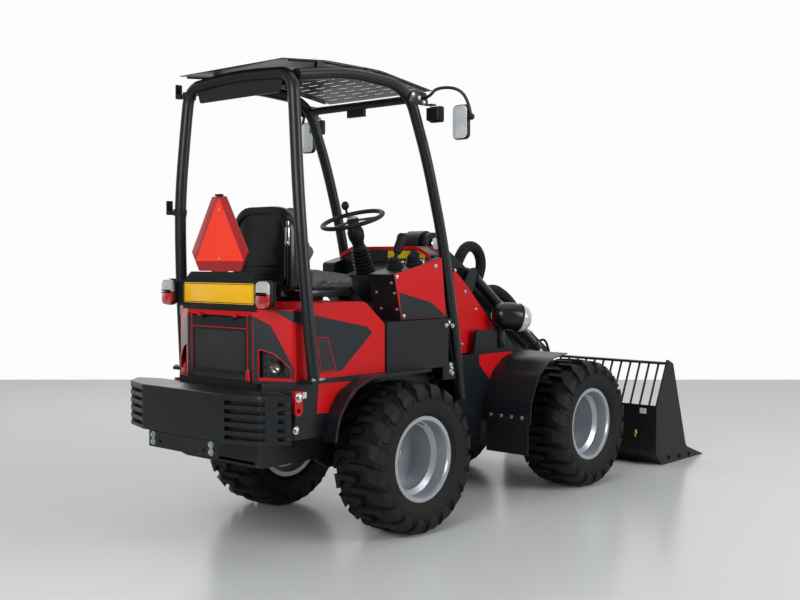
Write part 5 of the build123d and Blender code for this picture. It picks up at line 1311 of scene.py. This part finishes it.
@dataclass
class Controls:
    """Steering wheel grip, the column's bellows, joystick boots and pedal pads."""

    foot: tuple[float, float, float] = (0.222, 0.0, 1.262)
    head: tuple[float, float, float] = (0.130, 0.0, 1.535)
    ring: float = 0.160
    grip: float = 0.0135
    knob_way: Point = (0.62, 0.78, 0.0)
    pedal_length: float = 0.109
    pedal_run: float = 0.058
    pedal_rise: float = 0.092

    def column(self) -> None:
        """Pleat the boot on the steering column, under the thick head."""
        foot, head = at(*self.foot), at(*self.head)
        axis = (head - foot).normalized()
        rows = [(0.001, 0.0), (0.050, 0.0)]
        for pleat in range(7):
            start = 0.004 + pleat * 0.019
            radius = 0.050 - pleat * 0.0013
            rows += [(radius, start), (radius + 0.005, start + 0.004),
                     (radius + 0.005, start + 0.009), (radius - 0.005, start + 0.014)]
        rows += [(0.036, 0.140), (0.034, 0.146), (0.001, 0.147)]
        shape = Shape()
        shape.lathe(rows, foot, axis, 48)
        shape.lathe([(0.001, 0.140), (0.030, 0.140), (0.033, 0.165), (0.042, 0.190),
                     (0.044, 0.222), (0.036, 0.246), (0.024, 0.258), (0.001, 0.258)],
                    foot, axis, 40)
        shape.done("steering_column_bellows", RUBBER, ["steering_column"])

    def wheel(self) -> None:
        """Form the steering wheel: grip ring, three spokes, hub, cap and spinner knob."""
        head = at(*self.head)
        axis = (head - at(*self.foot)).normalized()
        ahead = Vector(self.knob_way)
        ahead = (ahead - axis * ahead.dot(axis)).normalized()
        turn = Matrix((ahead, axis.cross(ahead), axis)).transposed().to_4x4()
        turn.translation = head
        ring = Shape()
        grip = [(self.ring + self.grip * math.cos(step * math.tau / 16),
                 self.grip * 0.85 * math.sin(step * math.tau / 16)) for step in range(17)]
        ring.lathe(grip, head, axis, 72)
        ring.lathe([(0.001, -0.026), (0.024, -0.026), (0.031, -0.016), (0.031, 0.004),
                    (0.026, 0.008), (0.001, 0.008)], head, axis, 40)
        for angle in (0, 120, 240):
            out = turn @ Matrix.Rotation(math.radians(angle), 4, "Z")
            ring.plate([(0.022, -0.016, 0.004), (self.ring, -0.011, 0.002),
                        (self.ring, 0.011, 0.002), (0.022, 0.016, 0.004)], View.PLAN, -0.009,
                       0.008, 0.0015, matrix=out)
        stalk = turn @ Vector((self.ring, 0.0, 0.0))
        ring.rod(stalk, stalk + axis * 0.036, 0.0075, 0.006, sides=20)
        ring.ball(stalk + axis * 0.052, (0.021, 0.021, 0.024))
        ring.done("steering_wheel_ring", PLASTIC, ["steering_wheel"], body="steering_wheel")
        badge = Shape()
        badge.lathe([(0.001, 0.0082), (0.0245, 0.0082), (0.0262, 0.0095), (0.0262, 0.013),
                     (0.0225, 0.0145), (0.001, 0.0145)], head, axis, 40)
        badge.done("steering_wheel_hub_ring", SILVER, body="steering_wheel", slot="black_plastic")
        disc = Shape()
        disc.lathe([(0.001, 0.0140), (0.019, 0.0140), (0.0175, 0.0162), (0.001, 0.0168)],
                   head, axis, 36)
        disc.done("steering_wheel_hub_cap", RED, body="steering_wheel", slot="black_plastic")

    def pedals(self) -> None:
        """Put ribbed rubber pads on the pedals."""
        shape = Shape()
        for y in (-0.12, 0.12):
            for rib in range(5):
                share = (0.022 + rib * 0.018) / self.pedal_length
                x, z = 0.342 + self.pedal_run * share, 0.706 + self.pedal_rise * share
                shape.box(at(x, y - 0.036, z - 0.002), at(x + 0.004, y + 0.036, z + 0.006), 0.001)
        shape.done("pedal_pads", RUBBER)

    def sticks(self) -> None:
        """Pleat the joysticks' boots and shape their grips."""
        shape = Shape()
        for x, y, lean, tall in ((0.170, -0.262, 0.060, 0.170), (0.250, -0.320, 0.014, 0.060)):
            base = on_console(x, y, 0.001)
            top = on_console(x, y, tall) + Vector((lean, 0, 0))
            axis = Vector((-CONSOLE_RISE, 0, 1)).normalized()
            rows = [(0.001, 0.0), (0.044, 0.0), (0.045, 0.005)]
            for pleat in range(4):
                radius = 0.040 - pleat * 0.0035
                rows += [(radius + 0.003, 0.007 + pleat * 0.011),
                         (radius - 0.004, 0.0135 + pleat * 0.011)]
            rows += [(0.018, 0.054), (0.001, 0.055)]
            shape.lathe(rows, base, axis, 32)
            middle = base + axis * 0.03
            grip = top - middle
            shape.rod(middle, top, 0.010, sides=20)
            shape.lathe([(0.001, grip.length * 0.30), (0.019, grip.length * 0.32),
                         (0.025, grip.length * 0.5), (0.023, grip.length * 0.75),
                         (0.026, grip.length * 0.90), (0.019, grip.length),
                         (0.001, grip.length * 1.01)], middle, grip, 32)
        shape.done("joystick_boots", RUBBER)

    def build(self) -> None:
        """Build the controls."""
        self.column()
        self.wheel()
        self.pedals()
        self.sticks()


@dataclass
class Dash:
    """The console's red side, the dash's rim, blank label, gauges, switches and bolts."""

    side: float = -0.380

    def console(self) -> None:
        """Cover the right console's side in red, with its dark corner."""
        side_film("console_red_panel",
                  [(0.034, 1.256, 0.004), (0.402, 1.336, 0.006), (0.436, 1.030, 0.004),
                   (0.088, 1.030, 0.004)],
                  -self.side, RED, both=False)
        side_film("console_dark_film",
                  [(0.069, 1.166, 0.002), (0.319, 1.107, 0.004), (0.424, 1.042, 0.002),
                   (0.434, 1.031, 0.002), (0.089, 1.031, 0.002)],
                  -self.side + 0.0005, FILM, both=False)
        bolts = Shape()
        for x, z in ((0.052, 1.243), (0.350, 1.295), (0.104, 1.047)):
            bolts.bolt(at(x, self.side - 0.001, z), (0, -1, 0), 0.012)
        for y, z in ((-0.244, 1.165), (-0.365, 1.161), (-0.355, 1.212), (-0.365, 1.080),
                     (-0.260, 1.082)):
            x = 0.085 - (z - 1.024) * 0.055 / 0.231
            bolts.bolt(at(x, y, z), (-1, 0, 0), 0.010)
        for x, z in ((0.390, 0.989), (0.519, 0.983), (0.453, 0.736), (0.432, 0.764)):
            bolts.bolt(at(min(x, 0.440), -0.421, z), (0, -1, 0), 0.013)
        bolts.done("console_bolts", ZINC)

    def top(self) -> None:
        """Rim the dash in red, with a blank yellow label, gauges, switches and dials."""
        rim = Shape()
        rows = [(-0.330, 1.030, 0.01), (0.330, 1.030, 0.01), (0.330, 1.356, 0.03),
                (0.241, 1.3975, 0.04), (-0.241, 1.3975, 0.04), (-0.330, 1.356, 0.03)]
        rim.plate(rows, View.REAR, 0.3665, 0.0053, 0.001, hollow=0.020)
        rim.plate(rows, View.REAR, 0.4683, 0.004, 0.001)
        rim.box(at(0.3700, -0.225, 1.3925), at(0.4700, 0.225, 1.3975), 0.002)
        rim.done("dash_red_rim", RED)
        label = Shape()
        label.plate(rectangle(-0.295, 1.334, -0.030, 1.3745, 0.004), View.REAR, 0.3717, -0.001)
        label.done("dash_yellow_label", YELLOW_LABEL)
        gauges, faces = Shape(), Shape()
        up = Vector((-CONSOLE_RISE, 0, 1)).normalized()
        for x, y, radius in ((0.335, -0.262, 0.026), (0.300, -0.330, 0.018),
                             (0.255, -0.245, 0.014)):
            foot = on_console(x, y)
            gauges.lathe([(radius * 0.8, 0.0), (radius, 0.0), (radius, 0.008),
                          (radius * 0.88, 0.011), (radius * 0.8, 0.008), (radius * 0.8, 0.0)],
                         foot, up, 36)
            face = radius * 0.82
            faces.lathe([(0.001, 0.0), (face, 0.0), (face, 0.006), (0.001, 0.006)], foot, up, 32)
        gauges.done("console_gauge_rings", CHROME)
        faces.done("console_gauge_faces", PLASTIC)
        panel = Shape()
        panel.plate(rectangle(-0.300, 1.225, -0.110, 1.330, 0.008), View.REAR, 0.372, -0.006,
                    0.001)
        for column in range(5):
            panel.box(at(0.354, -0.290 + column * 0.036, 1.245),
                      at(0.366, -0.264 + column * 0.036, 1.285), 0.003)
        panel.rod(at(0.366, -0.255, 1.308), at(0.352, -0.255, 1.308), 0.011, soft=0.002)
        panel.done("dash_switches", PLASTIC)
        lit = Shape()
        for column in range(5):
            lit.box(at(0.3530, -0.284 + column * 0.036, 1.276),
                    at(0.3545, -0.270 + column * 0.036, 1.280))
        lit.rod(at(0.352, -0.255, 1.308), at(0.344, -0.255, 1.308), 0.006)
        lit.done("dash_switch_marks", WHITE_LABEL)
        dials = Shape()
        dials.plate(rectangle(0.110, 1.235, 0.290, 1.330, 0.008), View.REAR, 0.372, -0.004, 0.001)
        for y in (0.155, 0.245):
            dials.lathe([(0.001, 0.0), (0.034, 0.0), (0.036, 0.004), (0.034, 0.008),
                         (0.031, 0.008), (0.030, 0.003), (0.001, 0.003)],
                        at(0.369, y, 1.283), (-1, 0, 0), 40)
        dials.done("dash_dials", PLASTIC)

    def build(self) -> None:
        """Dress the dash and console."""
        self.console()
        self.top()


@dataclass
class Canopy:
    """Bolts and clamps on the canopy, the roof's gaskets and the box under it."""

    def bolts(self) -> None:
        """Bolt the roof, the posts' feet and brackets."""
        shape = Shape()
        for side in (-1, 1):
            for x in (-0.460, -0.130):
                shape.bolt(at(x, side * 0.340, 2.2465), (0, 0, 1), 0.012)
            for x, z in ((0.455, 0.998), (0.488, 0.985), (0.470, 0.740), (0.470, 0.775)):
                shape.bolt(at(x, side * 0.3835, z), (0, side, 0), 0.014)
            for x in (-0.632, -0.568):
                shape.bolt(at(x, side * 0.494, 0.793), (0, 0, 1), 0.012)
        shape.done("canopy_bolts", ZINC)

    def clamps(self) -> None:
        """Clamp brackets round the left rear post and roof corner, and hang the socket box."""
        shape = Shape()
        for x, y, z in ((-0.652, 0.430, 1.560), (-0.632, 0.374, 2.130)):
            shape.lathe([(0.0285, -0.016), (0.0335, -0.016), (0.0335, 0.016), (0.0285, 0.016),
                         (0.0285, -0.016)], at(x, y, z), (0.02, -0.1, 1), 36)
            shape.box(at(x - 0.030, y + 0.026, z - 0.010), at(x + 0.004, y + 0.074, z + 0.010),
                      0.002)
            shape.box(at(x - 0.030, y + 0.062, z - 0.006), at(x + 0.004, y + 0.074, z + 0.060),
                      0.002)
        shape.done("canopy_clamps", PLASTIC)
        box = Shape()
        box.box(at(-0.600, -0.315, 2.120), at(-0.520, -0.235, 2.190), 0.006)
        box.rod(at(-0.560, -0.275, 2.120), at(-0.560, -0.275, 2.104), 0.022, soft=0.003)
        box.done("beacon_socket_box", PLASTIC)

    def seams(self) -> None:
        """Lay the gaskets along the roof's side edges."""
        shape = Shape()
        for side in (-1, 1):
            rail = [(-0.650, 2.2165), (-0.440, 2.2352), (-0.060, 2.2352), (0.290, 2.1880)]
            for start, end in zip(rail, rail[1:]):
                shape.rod(at(start[0], side * 0.366, start[1]),
                          at(end[0], side * 0.366, end[1]), 0.0045, sides=10)
        shape.done("roof_edge_gaskets", RUBBER)

    def build(self) -> None:
        """Dress the canopy."""
        self.bolts()
        self.clamps()
        self.seams()


@dataclass
class LampsAndMirrors:
    """Work lamps with cooling fins, mirrors with bent arms, and headlights."""

    lamp_y: float = 0.428

    def work_lamps(self) -> None:
        """Build both work lamps, their brackets and lenses."""
        body, lens, bracket, bolts = Shape(), Shape(), Shape(), Shape()
        for side in (-1, 1):
            y = side * self.lamp_y
            body.plate(rectangle(y - 0.040, 2.022, y + 0.040, 2.102, 0.010),
                       View.REAR, 0.288, 0.026, 0.003)
            for fin in range(7):
                row = y - 0.033 + fin * 0.011
                body.box(at(0.262, row - 0.0022, 2.030), at(0.289, row + 0.0022, 2.094), 0.0008)
            lens.plate(rectangle(y - 0.035, 2.027, y + 0.035, 2.097, 0.007),
                       View.REAR, 0.3135, 0.0040, 0.001)
            inner, outer = sorted((side * 0.3935, side * 0.4005))
            bracket.plate([(0.121, 2.115, 0.01), (0.145, 2.168, 0.012), (0.255, 2.168, 0.012),
                           (0.268, 2.120, 0.01), (0.268, 2.103, 0.006), (0.150, 2.103, 0.01)],
                          View.SIDE, inner, outer - inner, 0.001)
            inner, outer = sorted((side * 0.394, side * 0.438))
            bracket.box(at(0.252, inner, 2.1035), at(0.288, outer, 2.1115), 0.001)
            for x, z in ((0.150, 2.150), (0.196, 2.138), (0.232, 2.118)):
                bolts.bolt(at(x, side * 0.401, z), (0, side, 0), 0.013)
        body.done("work_lamp_housings", PLASTIC, ["work_lamps"])
        lens.done("work_lamp_lenses", CLEAR_LENS)
        bracket.done("work_lamp_brackets", GREY)
        bolts.done("work_lamp_bolts", ZINC)

    def mirrors(self) -> None:
        """Hang a mirror with a rounded head on each bent arm."""
        head, glass = Shape(), Shape()
        for side in (-1, 1):
            low, high = sorted((side * 0.505, side * 0.605))
            rows = rectangle(low, 1.930, high, 2.104, 0.026)
            head.plate(rows, View.REAR, 0.3310, 0.026, 0.008)
            inside = rectangle(low + 0.006, 1.936, high - 0.006, 2.098, 0.021)
            glass.plate(inside, View.REAR, 0.3316, -0.0014, 0.0004)
            head.lathe([(0.001, 0.0), (0.011, 0.0), (0.016, 0.004), (0.016, 0.020),
                        (0.012, 0.026), (0.001, 0.026)], at(0.346, side * 0.602, 2.040),
                       (0, side, 0), 24)
            arm = [at(0.240, side * 0.398, 2.140), at(0.240, side * 0.436, 2.146),
                   at(0.250, side * 0.466, 2.186), at(0.322, side * 0.540, 2.190),
                   at(0.342, side * 0.598, 2.130), at(0.346, side * 0.614, 2.046)]
            word = "left" if side > 0 else "right"
            pipe(f"{word}_mirror_arm", arm, 0.008, GREY)
        head.done("mirror_heads", PLASTIC, ["mirrors"])
        glass.done("mirror_glasses", MIRROR)

    def headlights(self) -> None:
        """Form the egg-shaped headlights on their stems, with lens and rubber rim."""
        lens, rim, shell = Shape(), Shape(), Shape()
        for side in (-1, 1):
            axis = Vector((1.0, side * 0.56, -0.24)).normalized()
            centre = at(1.098, side * 0.362, 0.996)
            shell.lathe([(0.001, -0.160), (0.022, -0.156), (0.043, -0.144), (0.060, -0.120),
                         (0.072, -0.088), (0.078, -0.050), (0.080, -0.016), (0.080, 0.000),
                         (0.001, 0.000)], centre, axis, 44)
            inner, outer = sorted((side * 0.3003, side * 0.3125))
            shell.box(at(1.003, inner, 0.826), at(1.047, outer, 1.000), 0.002)
            inner, outer = sorted((side * 0.306, side * 0.340))
            shell.box(at(1.010, inner, 0.960), at(1.040, outer, 0.990), 0.002)
            lens.lathe([(0.078, 0.001), (0.077, 0.024), (0.070, 0.048), (0.052, 0.066),
                        (0.026, 0.075), (0.001, 0.077)], centre, axis, 40)
            rim.lathe([(0.070, -0.004), (0.0815, -0.004), (0.0825, 0.003), (0.0800, 0.008),
                       (0.070, 0.007), (0.070, -0.004)], centre, axis, 40)
        shell.done("headlight_housings", SHELL, ["headlights"], body="front_half")
        lens.done("headlight_lenses", CLEAR_LENS, body="front_half")
        rim.done("headlight_rims", RUBBER, body="front_half")

    def build(self) -> None:
        """Build lamps and mirrors."""
        self.work_lamps()
        self.mirrors()
        self.headlights()


@dataclass
class Front:
    """Films on the front plates, and the bolts on covers, fenders and flaps."""

    cheek: float = 0.300

    def films(self) -> None:
        """Stick the red wedge on each cheek plate."""
        side_film("cheek_red_film",
                  [(0.826, 0.800, 0.004), (1.150, 0.800, 0.010), (0.994, 0.646, 0.010),
                   (0.927, 0.650, 0.010), (0.828, 0.745, 0.006)],
                  self.cheek, RED_FILM, body="front_half")

    def bolts(self) -> None:
        """Bolt the fenders, flaps and covers."""
        shape = Shape()
        for side in (-1, 1):
            for y in (0.36, 0.43, 0.50, 0.57):
                shape.bolt(at(0.8540, side * y, 0.470), (-1, 0, 0), 0.014)
            for x, z in ((0.672, 1.268), (0.760, 1.150), (0.860, 1.050), (0.735, 0.860),
                         (0.960, 0.850)):
                shape.bolt(at(x, side * 0.2505, z), (0, side, 0), 0.010)
            shape.lathe([(0.001, 0.0), (0.031, 0.0), (0.033, 0.003), (0.031, 0.007),
                         (0.012, 0.009), (0.001, 0.009)],
                        at(0.660, side * 0.1185, 1.414), (0, side, 0), 36)
        shape.done("front_bolts", ZINC, body="front_half")

    def build(self) -> None:
        """Dress the front half."""
        self.films()
        self.bolts()


@dataclass
class Boom:
    """The steel pipe, couplings, hose and tip rings on the boom."""

    def pipes(self) -> None:
        """Lay the bright steel pipe down the boom's front, the couplings and the last hose."""
        line = [at(1.210, -0.100, 1.118), at(1.280, -0.100, 1.085), at(1.460, -0.100, 0.975),
                at(1.560, -0.100, 0.900), at(1.610, -0.082, 0.872)]
        pipe("boom_pipe_right", line, 0.0075, CHROME, body="boom_arm")
        shape = Shape()
        for y in (-0.020, 0.020):
            shape.lathe([(0.001, 0.0), (0.016, 0.0), (0.016, 0.022), (0.020, 0.026),
                         (0.020, 0.052), (0.013, 0.056), (0.013, 0.090), (0.001, 0.092)],
                        at(1.718, y, 0.868), (0.40, 0, -0.60), 32)
        shape.done("boom_couplings", CHROME, body="boom_arm")
        loop = [at(1.770, 0.020, 0.800), at(1.800, 0.020, 0.765), at(1.850, 0.012, 0.800),
                at(1.905, 0.000, 0.812), at(1.930, -0.010, 0.760), at(1.925, -0.030, 0.690),
                at(1.900, -0.052, 0.640)]
        pipe("coupler_hose", loop, 0.008, RUBBER, body="boom_arm")

    def caps(self) -> None:
        """Ring both ends of the pin at the boom's tip."""
        shape = Shape()
        for side in (-1, 1):
            shape.lathe([(0.001, 0.0), (0.024, 0.0), (0.026, 0.003), (0.024, 0.006),
                         (0.001, 0.007)], at(2.160, side * 0.1505, 0.220), (0, side, 0), 32)
        shape.done("boom_tip_rings", ZINC, body="boom_arm")

    def build(self) -> None:
        """Dress the boom."""
        self.pipes()
        self.caps()


@dataclass
class Bucket:
    """The bucket's bolts, the hose fitting on its side and the blank tag."""

    side: float = 0.600

    def build(self) -> None:
        """Dress the bucket."""
        brass = Shape()
        brass.lathe([(0.001, 0.0), (0.010, 0.0), (0.010, 0.012), (0.014, 0.014),
                     (0.014, 0.030), (0.008, 0.034), (0.008, 0.048), (0.001, 0.050)],
                    at(2.268, -0.464, 0.230), (-0.25, 0, -1), 28)
        brass.done("bucket_fitting", BRASS, body="bucket")
        tag = Shape()
        tag.plate(rectangle(-0.530, 0.335, -0.482, 0.370, 0.004), View.REAR, 2.2835, -0.001)
        tag.done("bucket_blank_tag", WHITE_LABEL, body="bucket")
        bolts = Shape()
        for side in (-1, 1):
            for x, z in ((2.460, 0.040), (2.600, 0.030), (2.740, 0.024)):
                bolts.bolt(at(x, side * self.side, z), (0, side, 0), 0.018)
        bolts.done("bucket_edge_bolts", BUCKET, body="bucket")


# Each CAD node's finish.
NODE_FINISHES: dict[str, Finish] = {
    "rear_frame": GREY, "rear_axle": IRON, "counterweight": GREY, "tow_plate": GREY,
    "tow_shackles": RED, "engine_block": IRON, "engine_hood": RED, "grille_door": GREY,
    "exhaust_pipe": STAINLESS, "hood_latches": RUBBER, "rear_fenders": GREY,
    "operator_tub": GREY, "dashboard": GREY, "steering_column": RUBBER,
    "steering_wheel": PLASTIC, "operator_controls": PLASTIC, "seat_frame": SHELL,
    "seat_cushion": VINYL, "seat_backrest": VINYL, "plate_carrier": PLASTIC,
    "number_plate": YELLOW, "slow_triangle": SIGN_EDGE, "tail_lamps": RED_LENS,
    "canopy_rear_frame": GREY, "canopy_side_hoops": GREY, "canopy_front_beam": GREY,
    "roof_panel": GREY, "work_lamps": PLASTIC, "mirrors": PLASTIC, "front_frame": GREY,
    "front_axle": IRON, "loader_tower": GREY, "tower_covers": RED, "front_fenders": GREY,
    "mud_flaps": RUBBER, "headlights": SHELL, "boom": GREY, "coupler": GREY,
    "bucket_shell": BUCKET, "bucket_guard": BUCKET, "rear_hose": SLEEVE,
    "front_hose": SLEEVE,
}
WORDS: dict[str, Finish] = {"barrel": GREY, "rod": CHROME, "tyre": TREAD, "rim": SILVER}


def paint_nodes() -> None:
    """Give every CAD node its finish."""
    for name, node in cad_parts.items():
        finish = NODE_FINISHES.get(name) or WORDS[name.rsplit("_", 1)[-1]]
        node.data.materials.clear()
        node.data.materials.append(finish.material())
        LOG.info("%s in %s", name, finish.name)


def main() -> None:
    """Build the dressed machine."""
    logging.basicConfig(level=logging.INFO, format="%(message)s")
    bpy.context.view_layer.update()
    studio = Studio()
    studio.camera()
    Hoses().build()
    paint_nodes()
    for part in (Wheels(), Tail(), Hood(), Seat(), Controls(), Dash(), Canopy(),
                 LampsAndMirrors(), Front(), Boom(), Bucket()):
        part.build()
        LOG.info("%s done", type(part).__name__)
    studio.build()


if __name__ == "__main__":
    main()
